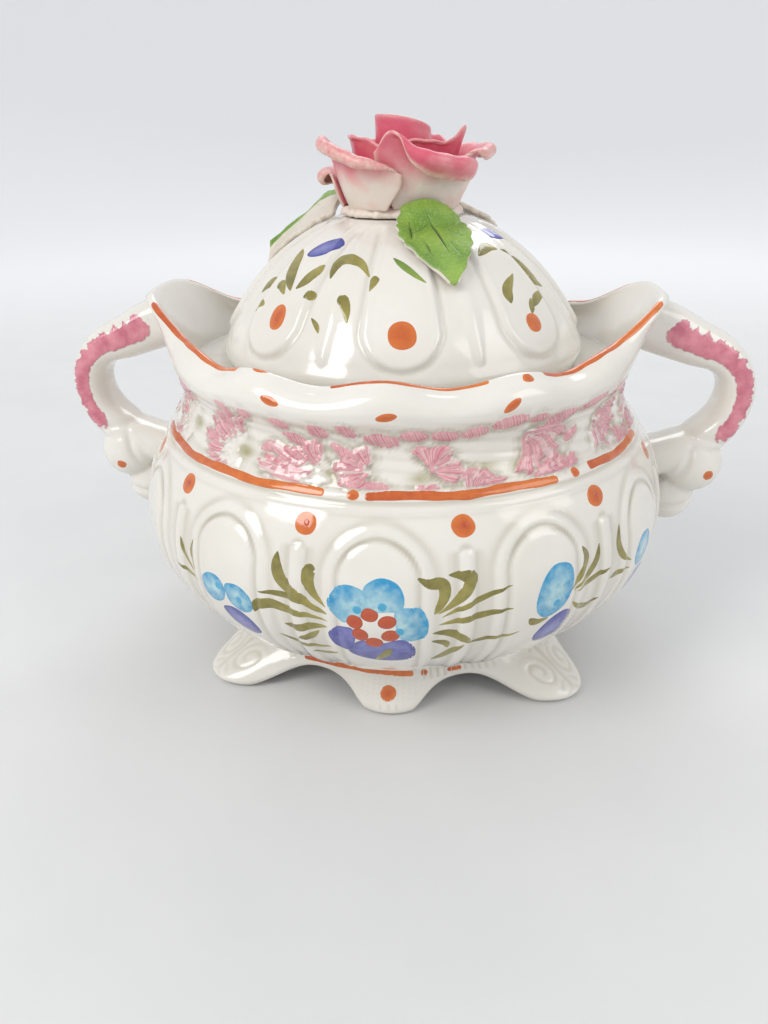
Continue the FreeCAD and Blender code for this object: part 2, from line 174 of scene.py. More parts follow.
# Along the outside the second coordinate is the height up to the waist, then 40 for the collar's rise,
# 4 across the lip and 40 down the well inside.
COLLAR_RUN = 40.0
LIP_RUN = 4.0
LIP_FROM = WAIST_Z + COLLAR_RUN
WELL_FROM = LIP_FROM + LIP_RUN
BOWL_COLUMNS = 648
SKIN_INSET = 0.25


def smooth(low, high, value):
    share = np.clip((value - low) / (high - low), 0.0, 1.0)
    return share * share * (3.0 - 2.0 * share)


def wrapped(angle):
    return (angle + 180.0) % 360.0 - 180.0


def chance(*keys):
    """A fixed number between 0 and 1 for a set of whole numbers."""
    total = sum(key * step for key, step in zip(keys, (12.9898, 78.233, 37.719)))
    return (np.sin(total) * 43758.5453) % 1.0


def curve(points, count, closed=False):
    """Smooth run of count points through a few given ones."""
    points = np.asarray(points, float)
    if closed:
        ends = np.vstack([points[-1:], points, points[:2]])
    else:
        ends = np.vstack([2 * points[0] - points[1], points, 2 * points[-1] - points[-2]])
    spans = len(ends) - 3
    place = np.linspace(0.0, spans, count, endpoint=not closed)
    span = np.minimum(place.astype(int), spans - 1)
    t = (place - span)[:, None]
    a, b, c, d = ends[span], ends[span + 1], ends[span + 2], ends[span + 3]
    bend = (2 * a - 5 * b + 4 * c - d) * t ** 2 + (3 * b - a - 3 * c + d) * t ** 3
    return 0.5 * (2 * b + (c - a) * t + bend)


def bezier(points, t):
    weights = ((1 - t) ** 3, 3 * t * (1 - t) ** 2, 3 * t * t * (1 - t), t ** 3)
    return [sum(w * p[k] for w, p in zip(weights, points)) for k in (0, 1)]


def collar(angle, t, front, side):
    """Radius and height on the collar: the front form drawn into the spout's, with its scallops."""
    pull = np.exp(-((np.abs(np.abs(wrapped(angle)) - 90.0) / SPOUT_WIDTH) ** SPOUT_FLAT))
    plain, drawn = bezier(front, t), bezier(side, t)
    wave = np.cos(np.radians(SCALLOPS * angle)) * (1.0 - pull) * t * t
    radius = plain[0] + (drawn[0] - plain[0]) * pull + SCALLOP_SWELL * wave
    return radius, plain[1] + (drawn[1] - plain[1]) * pull + SCALLOP_RISE * wave


def well(profile):
    inside = tuple((r - LIP_WALL, z) for r, z in profile[2:])
    return ((LEDGE_R, LEDGE_Z), (profile[1][0] - LIP_WALL, LEDGE_Z + 3.0)) + inside


def plain_bowl(angle, run):
    """Radius and height of the bowl's outside before any relief."""
    tall = np.where(run > BELLY_Z, BELLY_RISE, BELLY_DROP)
    belly = BELLY_R * np.sqrt(np.clip(1.0 - ((run - BELLY_Z) / tall) ** 2, 0.0, 1.0))
    low, mid, high = (run - SHOULDER_Z), (run - NECK_Z), (run - WAIST_Z)
    neck = (SHOULDER_R * mid * high / ((SHOULDER_Z - NECK_Z) * (SHOULDER_Z - WAIST_Z))
            + NECK_R * low * high / ((NECK_Z - SHOULDER_Z) * (NECK_Z - WAIST_Z))
            + WAIST_R * low * mid / ((WAIST_Z - SHOULDER_Z) * (WAIST_Z - NECK_Z)))
    rise = collar(angle, np.clip((run - WAIST_Z) / COLLAR_RUN, 0.0, 1.0), FRONT_COLLAR, SPOUT_COLLAR)
    across = np.clip((run - LIP_FROM) / LIP_RUN, 0.0, 1.0)
    fall = collar(angle, np.clip(1.0 - (run - WELL_FROM) / COLLAR_RUN, 0.0, 1.0),
                  well(FRONT_COLLAR), well(SPOUT_COLLAR))
    radius = np.where(run <= SHOULDER_Z, belly, np.where(run <= WAIST_Z, neck, np.where(
        run <= WELL_FROM, rise[0] - LIP_WALL * across, fall[0])))
    height = np.where(run <= WAIST_Z, run, np.where(
        run <= WELL_FROM, rise[1] + LIP_CROWN * np.sin(math.pi * across), fall[1]))
    return radius, height


ARCH_HALF = 18.2
PANEL_HALF = 12.7
ARCH_SPRING = 82.0
ARCH_STRETCH = 1.1
TIER = 0.75
DEGREE_AT_BELLY = BELLY_R * math.pi / 180.0
DEGREE_AT_NECK = NECK_R * math.pi / 180.0
# Fans of feathers in the neck band: root azimuth and height, reach round and up in millimetres, direction,
# spread, share of the reach where the pink fringe starts, and how many strokes it has
FANS = (
    (-96.0, 115.0, 26.0, 15.0, 165.0, 150.0, 0.55, 13),
    (-72.0, 115.0, 27.0, 15.5, 165.0, 150.0, 0.55, 13),
    (-51.5, 115.8, 28.0, 16.5, 165.0, 150.0, 0.56, 14),
    (-31.5, 113.8, 28.0, 15.5, 168.0, 160.0, 0.48, 15),
    (-8.5, 111.8, 35.0, 12.5, 168.0, 120.0, 0.36, 12),
    (-1.5, 114.5, 15.5, 9.0, 175.0, 150.0, 0.2, 8),
    (-6.5, 106.6, 16.0, 6.0, 42.0, 100.0, 0.1, 6),
    (4.5, 107.0, 19.0, 3.6, 25.0, 80.0, 0.1, 4),
    (9.2, 114.0, 15.0, 8.5, 30.0, 150.0, 0.06, 8),
    (16.6, 107.0, 16.0, 8.5, 45.0, 70.0, 0.06, 5),
    (30.0, 122.5, 24.0, 14.0, -42.0, 110.0, 0.1, 10),
    (31.0, 106.8, 26.0, 10.0, 35.0, 70.0, 0.1, 6),
    (53.0, 122.5, 22.0, 15.0, -40.0, 120.0, 0.12, 12),
    (60.0, 106.8, 18.0, 9.0, 45.0, 80.0, 0.1, 6),
)
# Lobes of the garland over the fans: azimuth and height of the middle, half length, half width, lean
LOBES = (
    (-84.0, 129.5, 7.0, 3.0, 0.1), (-70.0, 129.5, 6.5, 3.0, 0.1), (-56.0, 129.8, 6.0, 3.0, 0.15),
    (-37.5, 128.2, 4.2, 3.2, -0.5), (-31.0, 128.4, 3.4, 2.2, 0.0), (-22.2, 127.4, 4.4, 2.4, -0.1),
    (-19.0, 121.8, 4.8, 2.2, -0.25), (-13.4, 126.2, 4.4, 3.0, -0.2), (-7.0, 127.0, 3.8, 2.6, -0.4),
    (0.2, 123.6, 6.8, 3.2, -0.15), (6.6, 125.6, 5.0, 2.6, 0.0), (13.0, 125.4, 5.0, 2.6, -0.1),
    (19.2, 126.0, 5.2, 2.6, 0.1), (26.4, 128.6, 7.6, 2.9, 0.1), (33.4, 128.4, 4.2, 1.8, 0.0),
    (40.0, 126.6, 8.2, 3.2, 0.2), (36.6, 122.2, 6.0, 2.4, 0.2), (50.0, 129.2, 8.6, 2.4, 0.15),
    (62.0, 129.4, 7.0, 3.0, 0.1), (77.0, 130.0, 7.0, 3.0, 0.1),
    (-18.2, 111.0, 8.6, 1.8, 0.02), (-25.0, 117.2, 4.6, 2.0, 0.2), (-8.2, 118.8, 4.4, 2.0, -0.5),
    (-7.2, 111.0, 3.6, 2.4, -0.4), (-1.4, 108.9, 6.2, 1.7, -0.08), (44.0, 118.0, 4.6, 2.0, 0.3),
)
# Hollows of the band where olive is laid for glaze pooling and painted shade
BARE_HOLLOWS = ((7.8, 111.6), (29.2, 112.2), (39.5, 111.0), (22.0, 113.0))
BAND_DEEP = 1.7


def band_height(run):
    """Length up the neck band in millimetres."""
    return np.where(run <= WAIST_Z, run, WAIST_Z + (run - WAIST_Z) * 0.52)


def feathers(angle, run):
    """Height of the feathered band from 0 to 1, how pink and olive it is, and a count across its strokes."""
    up = band_height(run)
    warp = 0.6 * np.sin(np.radians(angle * 11.0) + up * 0.4) + 0.4 * np.sin(np.radians(angle * 29.0) - up * 0.9)
    raised = 0.22 + 0.05 * np.sin(up * 1.7 + np.radians(angle * 14.0))
    pink = np.zeros_like(angle)
    olive = np.zeros_like(angle)
    comb = angle * 2.0
    for half in (0.0, 180.0):
        for number, (azimuth, root, wide, tall, direction, fan, inner, strokes) in enumerate(FANS):
            x = wrapped(angle - azimuth - half) * DEGREE_AT_NECK / wide
            y = (up - root + 0.4 * warp) / tall
            reach = np.hypot(x, y)
            bend = wrapped(np.degrees(np.arctan2(y, x)) - direction)
            bend = bend + 3.0 * warp + 9.0 * np.sin(4.0 * reach + number)
            strokes = 1.45 * strokes
            share = (bend / fan + 0.5) * strokes
            share = share + 0.3 * np.sin(1.9 * share + number)
            index = np.floor(share)
            part = share - index
            inside = (index >= 0) & (index < strokes)
            start = inner * (0.7 + 0.5 * chance(index, number, 2))
            end = 0.74 + 0.28 * chance(index, number)
            along = np.clip((reach - start) / (end - start), -1.0, 2.0)
            ridge = np.sin(math.pi * part)
            hair = 0.12 * np.sin(share * 15.0 + number)
            body = smooth(-0.08, 0.1, along) * (1.0 - smooth(0.82, 1.0, along))
            leaf = (1.0 - smooth(-0.1, 0.2, along)) * smooth(0.06, 0.2, reach)
            lift = np.where(inside, body * (0.55 + 0.45 * ridge + hair) + leaf * (0.5 + 0.14 * ridge), 0.0)
            tip = 0.12 + 0.75 * np.abs(2.0 * along - 1.0) ** 3
            painted = smooth(-0.35, 0.15, ridge + hair - tip) * (0.45 + 0.55 * (chance(index, number, 4) > 0.15))
            over = lift > raised
            comb = np.where(over & inside, share + 40.0 * number, comb)
            pink = np.where(over, np.where(inside, painted * (along > 0.0) * (along < 1.0), 0.0), pink)
            raised = np.maximum(raised, lift)
            # Olive at the deep root of each large fan: glaze pooling and painted shade in the hollow.
            dark = np.exp(-((reach * 0.5 * (wide + tall) / 2.8) ** 2)) * (inner > 0.3)
            olive = np.maximum(olive * (1.0 - 0.8 * over), dark)
        for number, (azimuth, middle, long, wide, lean) in enumerate(LOBES):
            x = wrapped(angle - azimuth - half) * DEGREE_AT_NECK
            y = up - middle - lean * x
            edge = 1.0 + 0.12 * np.sin(x * 2.3 + number) + 0.1 * warp
            lobe = np.clip(edge - (x / long) ** 2 - (y / wide) ** 2, 0.0, 1.0)
            lift = 0.95 * np.sqrt(lobe) * (0.84 + 0.16 * np.sin(3.4 * x + 1.2 * y + number))
            comb = np.where(lift > raised, 0.7 * x + 0.3 * y, comb)
            pink = np.where(lift > raised, smooth(0.04, 0.3, lobe), pink)
            raised = np.maximum(raised, lift)
        # Olive in listed hollows of the band not covered by pink: glaze pooling and painted shade.
        for azimuth, root in BARE_HOLLOWS:
            x = wrapped(angle - azimuth - half) * DEGREE_AT_NECK
            spot = np.exp(-((x / 4.2) ** 2) - ((up - root + warp) / 1.9) ** 2)
            olive = np.maximum(olive, 0.7 * spot * (1.0 - pink))
    return np.clip(raised, 0.0, 1.0), pink, olive, comb


def bowl_relief(angle, run):
    """How far the modelled outside stands in from the full outline, its pink wash, its olive of glaze pooling and
    painted shade in the band's hollows, and stroke count.
    """
    off = wrapped((angle + 15.0) % 30.0 - 15.0)
    across = off * DEGREE_AT_BELLY
    rise = np.maximum(run - ARCH_SPRING, 0.0) * ARCH_STRETCH
    reach = np.hypot(across, rise)
    first = smooth(-1.9, 1.9, ARCH_HALF - reach)
    second = smooth(-1.8, 1.8, PANEL_HALF - reach)
    bead = 0.2 * np.exp(-((ARCH_HALF - 1.8 - reach) / 1.3) ** 2)
    bead = bead - 0.28 * np.exp(-((PANEL_HALF + 1.4 - reach) / 1.2) ** 2)
    rib_off = np.abs((angle % 30.0) - 15.4) * DEGREE_AT_BELLY
    rib = smooth(3.3, 1.3, np.hypot(rib_off, 1.3 * np.maximum(run - 89.0, 0.0)))
    belly = TIER * (first + second) + bead * first + 1.0 * rib * (1.0 - first)
    belly *= smooth(20.0, 27.0, run)
    line = 0.5 * np.exp(-((run - 103.0) / 0.7) ** 2)
    cord = 0.8 * np.exp(-((run - 106.6) / 1.5) ** 4)
    raised, pink, olive, comb = feathers(angle, run)
    in_band = smooth(107.7, 109.0, run) * (1.0 - smooth(138.0, 143.0, run))
    depth_belly = 2 * TIER + 0.1
    lower = smooth(102.0, 106.0, run)
    stand = (belly + line) * (1.0 - lower) + (cord + BAND_DEEP * raised * in_band) * lower
    deep = depth_belly * (1.0 - lower) + BAND_DEEP * lower
    deep = deep * (1.0 - smooth(130.0, 146.0, run))
    stand = np.minimum(stand, deep)
    return stand - deep - SKIN_INSET, pink * in_band, olive * in_band, comb


def round_axis(radius, angle, height):
    turned = np.radians(angle)
    return np.stack([radius * np.sin(turned), -radius * np.cos(turned), height + 0.0 * radius], axis=-1)


def skin_mesh(name, rows, marks, joined=False):
    """Closed skin from rings round the axis, each ring as fine as the last or four times coarser or finer.
    The ends close on middle points, or the last ring is joined to the first. Marks are named values for
    every point of every ring."""
    start = np.cumsum([0] + [len(row) for row in rows])
    faces = []
    for k in range(len(rows) if joined else len(rows) - 1):
        after = (k + 1) % len(rows)
        low, high, a, b = len(rows[k]), len(rows[after]), start[k], start[after]
        i = np.arange(min(low, high))
        j = (i + 1) % len(i)
        if low == high:
            faces += np.stack([a + i, a + j, b + j, b + i], axis=1).tolist()
            continue
        fine, coarse = (a, b) if low > high else (b, a)
        f = [fine + (4 * i + n) % (4 * len(i)) for n in range(5)]
        corners = [(f[0], f[1], coarse + i), (f[1], f[2], coarse + i), (f[2], coarse + j, coarse + i),
                   (f[2], f[3], coarse + j), (f[3], f[4], coarse + j)]
        for corner in corners:
            faces += np.stack(corner if low > high else corner[::-1], axis=1).tolist()
    points = np.vstack(rows)
    values = {key: np.concatenate([np.ravel(v) for v in value]) for key, value in marks.items()}
    if not joined:
        tips = [[0.0, 0.0, row[:, 2].mean()] for row in (rows[0], rows[-1])]
        points = np.vstack([points, tips])
        values = {key: np.append(value, [0.0, 0.0]) for key, value in values.items()}
        i = np.arange(len(rows[0]))
        faces += np.stack([0 * i + start[-1], (i + 1) % len(i), i], axis=1).tolist()
        i = np.arange(len(rows[-1]))
        faces += np.stack([start[-2] + i, start[-2] + (i + 1) % len(i), 0 * i + start[-1] + 1], axis=1).tolist()
    mesh = bpy.data.meshes.new(name)
    mesh.from_pydata((points * MM).tolist(), [], faces)
    for key, value in values.items():
        mesh.attributes.new(key, "FLOAT", "POINT").data.foreach_set("value", value.astype(np.float32))
    mesh.shade_smooth()
    return mesh


def piece(name, mesh, material, body, slot, *nodes):
    """Object for a finished mesh: it rides on a body and stands for its solids, whose parts it hides. The slot is not
    used.
    """
    made = bpy.data.objects.new(name, mesh)
    bpy.context.collection.objects.link(made)
    mesh.materials.append(material)
    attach(made, body)
    if nodes:
        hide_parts(*nodes)
    return made


def glaze_pooling_and_shade(height):
    """How far each point of a ring grid lies below its neighbourhood, from 0 to 1, for the glaze's grey of glaze
    pooling and painted shade in the hollows.
    """
    near = sum(np.roll(height, k, axis=1) for k in (-4, -2, 2, 4)) / 4.0
    pad = np.pad(height, ((3, 3), (0, 0)), mode="edge")
    near = 0.5 * near + 0.25 * (pad[:-6] + pad[6:])
    return np.clip((near - height) * 2.2, 0.0, 1.0)


def mixed(tree, factor, first, second):
    """Colour between two others."""
    made = add(tree, "ShaderNodeMix", {"Factor": factor, 6: first, 7: second}, data_type="RGBA")
    return made.outputs[2]


def spread(tree, value, low, high, from_value=0.0, to_value=1.0):
    """Value carried from one range to another and held at its ends."""
    made = add(tree, "ShaderNodeMapRange", {
        "Value": value, "From Min": low, "From Max": high, "To Min": from_value, "To Max": to_value})
    return made.outputs["Result"]


def noise(tree, place, scale, detail):
    return add(tree, "ShaderNodeTexNoise", {"Vector": place, "Scale": scale, "Detail": detail}).outputs["Fac"]


def glaze_coat(tree, surface, place, cloud):
    """Gloss and slow waviness of a poured glaze, on any colour."""
    tree.links.new(spread(tree, cloud, 0.0, 1.0, 0.09, 0.2), surface.inputs["Roughness"])
    surface.inputs["Coat Weight"].default_value = 0.5
    surface.inputs["Coat Roughness"].default_value = 0.04
    surface.inputs["IOR"].default_value = 1.52
    wave = add(tree, "ShaderNodeBump", {"Height": noise(tree, place, 95.0, 2.0), "Strength": 0.12, "Distance": 0.002})
    fine = add(tree, "ShaderNodeBump", {
        "Height": noise(tree, place, 420.0, 3.0), "Strength": 0.06, "Distance": 0.0006, "Normal": wave.outputs["Normal"]})
    tree.links.new(fine.outputs["Normal"], surface.inputs["Normal"])


def white_coat(tree, place, cloud):
    """Colour of the white glaze: slow clouds of warm white, grey in the hollows for glaze pooling and painted shade,
    and a few kiln specks.
    """
    white = mixed(tree, spread(tree, cloud, 0.3, 0.7), (0.735, 0.70, 0.63, 1.0), (0.80, 0.77, 0.71, 1.0))
    # The 'hollow' mark greys the glaze where the relief sinks: partly glaze pooling, partly painted shade.
    hollow = add(tree, "ShaderNodeAttribute", attribute_name="hollow").outputs["Fac"]
    pooling_and_shade = mixed(tree, hollow, white, (0.47, 0.43, 0.34, 1.0))
    cell = add(tree, "ShaderNodeTexVoronoi", {"Vector": place, "Scale": 34.0}).outputs["Distance"]
    return mixed(tree, spread(tree, cell, 0.008, 0.014, 0.6, 0.0), pooling_and_shade, (0.12, 0.09, 0.06, 1.0))


def pink_wash(tree, place):
    """Brushed pink, blotched and streaked."""
    return mixed(tree, spread(tree, noise(tree, place, 170.0, 3.0), 0.35, 0.65),
                 (0.52, 0.10, 0.165, 1.0), (0.69, 0.23, 0.285, 1.0))


def banded_glaze():
    """White glaze with pink brushed over the raised feathers, and olive in their hollows for glaze pooling and painted
    shade.
    """
    material, tree, surface = shader("banded_glaze")
    place = add(tree, "ShaderNodeTexCoord").outputs["Object"]
    cloud = noise(tree, place, 28.0, 4.0)
    # Olive of glaze pooling and painted shade in the band's hollows.
    olive = add(tree, "ShaderNodeAttribute", attribute_name="olive").outputs["Fac"]
    olive_pooling_and_shade = mixed(tree, olive, white_coat(tree, place, cloud), (0.36, 0.33, 0.16, 1.0))
    pink = add(tree, "ShaderNodeAttribute", attribute_name="pink").outputs["Fac"]
    ragged = add(tree, "ShaderNodeMath", {0: noise(tree, place, 520.0, 3.0), 1: 0.5}, operation="MULTIPLY")
    edge = add(tree, "ShaderNodeMath", {0: pink, 1: ragged.outputs["Value"]}, operation="SUBTRACT")
    comb = add(tree, "ShaderNodeAttribute", attribute_name="comb").outputs["Fac"]
    line = add(tree, "ShaderNodeCombineXYZ", {"X": comb})
    hairs = spread(tree, noise(tree, line.outputs["Vector"], 2.6, 2.0), 0.4, 0.58, 0.45, 1.0)
    streaked = add(tree, "ShaderNodeMath", {
        0: spread(tree, edge.outputs["Value"], -0.1, 0.45, 0.0, 0.95), 1: hairs}, operation="MULTIPLY")
    cover = streaked.outputs["Value"]
    tree.links.new(mixed(tree, cover, olive_pooling_and_shade, pink_wash(tree, place)), surface.inputs["Base Color"])
    glaze_coat(tree, surface, place, cloud)
    return material


belly_runs = np.concatenate([
    np.linspace(BASE_Z, 22.0, 4), np.linspace(24.0, 77.0, 32), np.linspace(78.0, 105.5, 42)])
neck_runs = np.linspace(106.1, WAIST_Z, 25)
collar_runs = WAIST_Z + COLLAR_RUN * np.concatenate([np.linspace(0.035, 0.5, 15), np.linspace(0.56, 1.0, 11)])
lip_runs = LIP_FROM + LIP_RUN * np.linspace(0.15, 1.0, 6)
outside_runs = np.concatenate([belly_runs, neck_runs, collar_runs, lip_runs])
fine_angles = np.arange(BOWL_COLUMNS) * 360.0 / BOWL_COLUMNS
coarse_angles = fine_angles[::4]
angle_grid, run_grid = np.meshgrid(fine_angles, outside_runs)
relief, pink_grid, olive_grid, comb_grid = bowl_relief(angle_grid, run_grid)
relief = np.where(run_grid <= LIP_FROM, relief, -SKIN_INSET)
outside_radius, outside_height = plain_bowl(angle_grid, run_grid)
bowl_points = round_axis(outside_radius + relief, angle_grid, outside_height - SKIN_INSET * (run_grid > LIP_FROM))
inner_angle = np.degrees(np.arcsin((BASE_Z + BOWL_WALL - BELLY_Z) / (BELLY_DROP - BOWL_WALL)))
inside_line = [(LEDGE_R - 0.6, LEDGE_Z), (70.0, LEDGE_Z), (MOUTH_R + 0.6, LEDGE_Z), (MOUTH_R, LEDGE_Z - 0.6),
               (MOUTH_R, LEDGE_Z - LEDGE_T + 0.6), (MOUTH_R + 0.6, LEDGE_Z - LEDGE_T)]
for turn_angle in np.linspace(28.0, inner_angle, 30):
    tall = BELLY_RISE if turn_angle > 0 else BELLY_DROP
    up = math.radians(turn_angle)
    inside_line.append(((BELLY_R - BOWL_WALL) * math.cos(up), BELLY_Z + (tall - BOWL_WALL) * math.sin(up)))
inside_line.append((30.0, BASE_Z + BOWL_WALL))
bowl_rows = [round_axis(np.full(BOWL_COLUMNS, 56.0), fine_angles, BASE_Z)] + list(bowl_points)
for share in np.linspace(0.05, 1.0, 14):
    radius, height = plain_bowl(coarse_angles, np.full(len(coarse_angles), WELL_FROM + COLLAR_RUN * share))
    bowl_rows.append(round_axis(radius, coarse_angles, height))
bowl_rows += [round_axis(np.full(len(coarse_angles), r), coarse_angles, z) for r, z in inside_line]
bare = [np.zeros(len(row)) for row in bowl_rows]
marks = {}
# The 'hollow' mark is the painted shade and glaze pooling of the sunk relief.
for key, grid in (("hollow", glaze_pooling_and_shade(relief)), ("pink", pink_grid), ("olive", olive_grid), ("comb", comb_grid)):
    marks[key] = bare[:1] + list(grid) + bare[1 + len(grid):]
piece("tureen_bowl", skin_mesh("tureen_bowl", bowl_rows, marks), banded_glaze(), "bowl", "white_glaze", "bowl")

# The hand painting on the bowl: thick majolica colours laid on with a loaded brush, a spray of blue flowers
# with olive leaves on the front and back, orange dots and a broken orange line at the neck and on the lip.
PAINT_T = 0.17
PAINT_ROOT = 0.35
PAINT_DIP = 0.07
PAINT_OVER = 0.1


def sampled(points, runs):
    """A finished surface as a function of azimuth and run, read off its grid."""
    columns = points.shape[1]

    def at(angle, run):
        column = (np.asarray(angle) % 360.0) * columns / 360.0
        left = np.floor(column).astype(int)
        row = np.interp(run, runs, np.arange(len(runs)))
        low = np.minimum(row.astype(int), len(runs) - 2)
        u, v = (column - left)[..., None], (row - low)[..., None]
        left, right = left % columns, (left + 1) % columns
        bottom = (1.0 - u) * points[low, left] + u * points[low, right]
        top = (1.0 - u) * points[low + 1, left] + u * points[low + 1, right]
        return (1.0 - v) * bottom + v * top

    return at


def facing(skin, angle, run):
    """Outward direction on a skin, and its millimetres for each degree and for each unit of run."""
    across = skin(angle + 0.5, run) - skin(angle - 0.5, run)
    along = skin(angle, run + 0.5) - skin(angle, run - 0.5)
    out = np.cross(across, along)
    out = out / np.linalg.norm(out, axis=-1, keepdims=True)
    return out, np.linalg.norm(across, axis=-1), np.linalg.norm(along, axis=-1)


def film(batch, skin, angle, run, rise, tone, edge, loop):
    """Thin closed coat of paint over a grid of places, sunk a little into the glaze along its edge."""
    out = facing(skin, angle, run)[0]
    base = skin(angle, run)
    rows, columns = angle.shape
    top = len(batch["tone"]) + np.arange(rows * columns).reshape(rows, columns)
    under = top + rows * columns
    batch["points"] += (base + out * rise[..., None]).reshape(-1, 3).tolist()
    batch["points"] += (base - out * PAINT_ROOT).reshape(-1, 3).tolist()
    batch["tone"] += 2 * tone.ravel().tolist()
    batch["edge"] += 2 * edge.ravel().tolist()
    borders = [(top[0], under[0]), (top[-1][::-1], under[-1][::-1])]
    for sheet in (top, under[:, ::-1]):
        wide = np.hstack([sheet, sheet[:, :1]]) if loop else sheet
        quads = np.stack([wide[:-1, :-1], wide[:-1, 1:], wide[1:, 1:], wide[1:, :-1]], axis=-1)
        batch["faces"] += quads.reshape(-1, 4).tolist()
    if loop:
        batch["faces"] += [top[-1].tolist(), under[-1][::-1].tolist()]
        borders = [(np.append(top[0], top[0, 0]), np.append(under[0], under[0, 0]))]
    else:
        borders += [(top[:, -1], under[:, -1]), (top[::-1, 0], under[::-1, 0])]
    for upper, lower in borders:
        batch["faces"] += np.stack([upper[1:], upper[:-1], lower[:-1], lower[1:]], axis=1).tolist()


def stroke(batch, skin, places, width, fat=0.5, blunt=False, over=0.0):
    """Brush stroke through places of azimuth and run: a leaf widest at a share of its length, or a stripe."""
    rough = curve(places, 40)
    _, wide, tall = facing(skin, rough[:, 0], rough[:, 1])
    steps = np.diff(rough, axis=0) * np.stack([wide, tall], axis=1)[1:]
    length = np.linalg.norm(steps, axis=1).sum()
    count = max(12, int(length / 0.5))
    line = curve(places, count)
    _, wide, tall = facing(skin, line[:, 0], line[:, 1])
    metric = np.stack([wide, tall], axis=1)
    flow = np.gradient(line, axis=0) * metric
    flow = flow / np.linalg.norm(flow, axis=1, keepdims=True)
    side = np.stack([-flow[:, 1], flow[:, 0]], axis=1) / metric
    t = np.linspace(0.0, 1.0, count)
    if blunt:
        inset = np.clip(1.0 - np.minimum(t, 1.0 - t) * length / (0.5 * width), 0.0, 1.0)
        shape = np.sqrt(np.clip(1.0 - inset ** 2, 0.003, 1.0))
        shape = shape * (1.0 + 0.07 * np.sin(t * length * 0.5 + line[0, 0]))
    else:
        swell = np.where(t < fat, t / fat, (1.0 - t) / (1.0 - fat))
        shape = np.clip(np.sin(0.5 * math.pi * swell), 0.04, 1.0) ** 0.8
    share = np.linspace(-1.0, 1.0, 9)
    away = side[:, None, :] * (0.5 * width * shape)[:, None, None] * share[None, :, None]
    near = np.abs(share)[None, :] * np.ones((count, 1))
    rise = over + PAINT_T * (1.0 - near ** 4) - PAINT_DIP
    rise[[0, -1]] = over - PAINT_DIP
    tone = np.tile(t[:, None], (1, 9))
    film(batch, skin, line[:, :1] + away[..., 0], line[:, 1:] + away[..., 1], rise, tone, near, False)


def blob(batch, skin, outline, centre=None, reach=1.0, over=0.0):
    """Filled shape inside a few places; its tone grows from a centre out to a reach in millimetres."""
    middle = np.mean(outline, axis=0)
    _, wide, tall = facing(skin, *middle)
    metric = np.array([wide, tall])
    half = np.linalg.norm((np.array(outline) - middle) * metric, axis=1).max()
    ring = curve(outline, int(np.clip(11.0 * half, 40, 72)), closed=True)
    middle = ring.mean(axis=0)
    share = np.concatenate([[1.0, 0.97], np.linspace(0.93, 0.03, int(np.clip(3.0 * half, 8, 20)))])
    place = middle + share[:, None, None] * (ring - middle)
    rise = np.tile((over + PAINT_T * (1.0 - share ** 5) - PAINT_DIP)[:, None], (1, len(ring)))
    edge = np.tile(share[:, None], (1, len(ring)))
    tone = edge
    if centre:
        away = (place - np.array(centre)) * metric
        tone = np.clip(1.5 * np.linalg.norm(away, axis=-1) / reach - 0.5, 0.0, 1.0)
    film(batch, skin, place[..., 0], place[..., 1], rise, tone, edge, True)


def dot(batch, skin, azimuth, run, across, up, lean=0.0, over=0.0):
    """Round or oval touch of the brush, its axes in millimetres and its lean in degrees."""
    _, wide, tall = facing(skin, azimuth, run)
    turn = np.radians(np.arange(0.0, 360.0, 30.0))
    x, y = 0.5 * across * np.cos(turn), 0.5 * up * np.sin(turn)
    x = x * (1.0 + 0.06 * np.sin(2.0 * turn + azimuth))
    c, s = math.cos(math.radians(lean)), math.sin(math.radians(lean))
    places = np.stack([azimuth + (x * c - y * s) / wide, run + (x * s + y * c) / tall], axis=1)
    blob(batch, skin, places, over=over)


def new_batch():
    return {"points": [], "faces": [], "tone": [], "edge": []}


def painted(name, batch, material, body):
    """One piece for all the touches of one colour on one body."""
    mesh = bpy.data.meshes.new(name)
    mesh.from_pydata((np.array(batch["points"]) * MM).tolist(), [], batch["faces"])
    for key in ("tone", "edge"):
        mesh.attributes.new(key, "FLOAT", "POINT").data.foreach_set("value", np.array(batch[key], np.float32))
    turned = bmesh.new()
    turned.from_mesh(mesh)
    bmesh.ops.recalc_face_normals(turned, faces=turned.faces)
    turned.to_mesh(mesh)
    turned.free()
    mesh.shade_smooth()
    piece(name, mesh, material, body, "white_glaze")


def enamel(name, first, last, rim):
    """Brushed majolica colour: from one tone to another, cloudy with the brush, and its own tint at the rim."""
    material, tree, surface = shader(name)
    place = add(tree, "ShaderNodeTexCoord").outputs["Object"]
    tone = add(tree, "ShaderNodeAttribute", attribute_name="tone").outputs["Fac"]
    edge = add(tree, "ShaderNodeAttribute", attribute_name="edge").outputs["Fac"]
    brushed = add(tree, "ShaderNodeMath", {
        0: tone, 1: spread(tree, noise(tree, place, 330.0, 4.0), 0.3, 0.7, -0.3, 0.3)}, operation="ADD")
    body = mixed(tree, spread(tree, brushed.outputs["Value"], 0.0, 1.0), first, last)
    outlined = mixed(tree, spread(tree, edge, 0.72, 1.0, 0.0, 0.75), body, rim)
    tree.links.new(outlined, surface.inputs["Base Color"])
    glaze_coat(tree, surface, place, noise(tree, place, 28.0, 4.0))
    return material


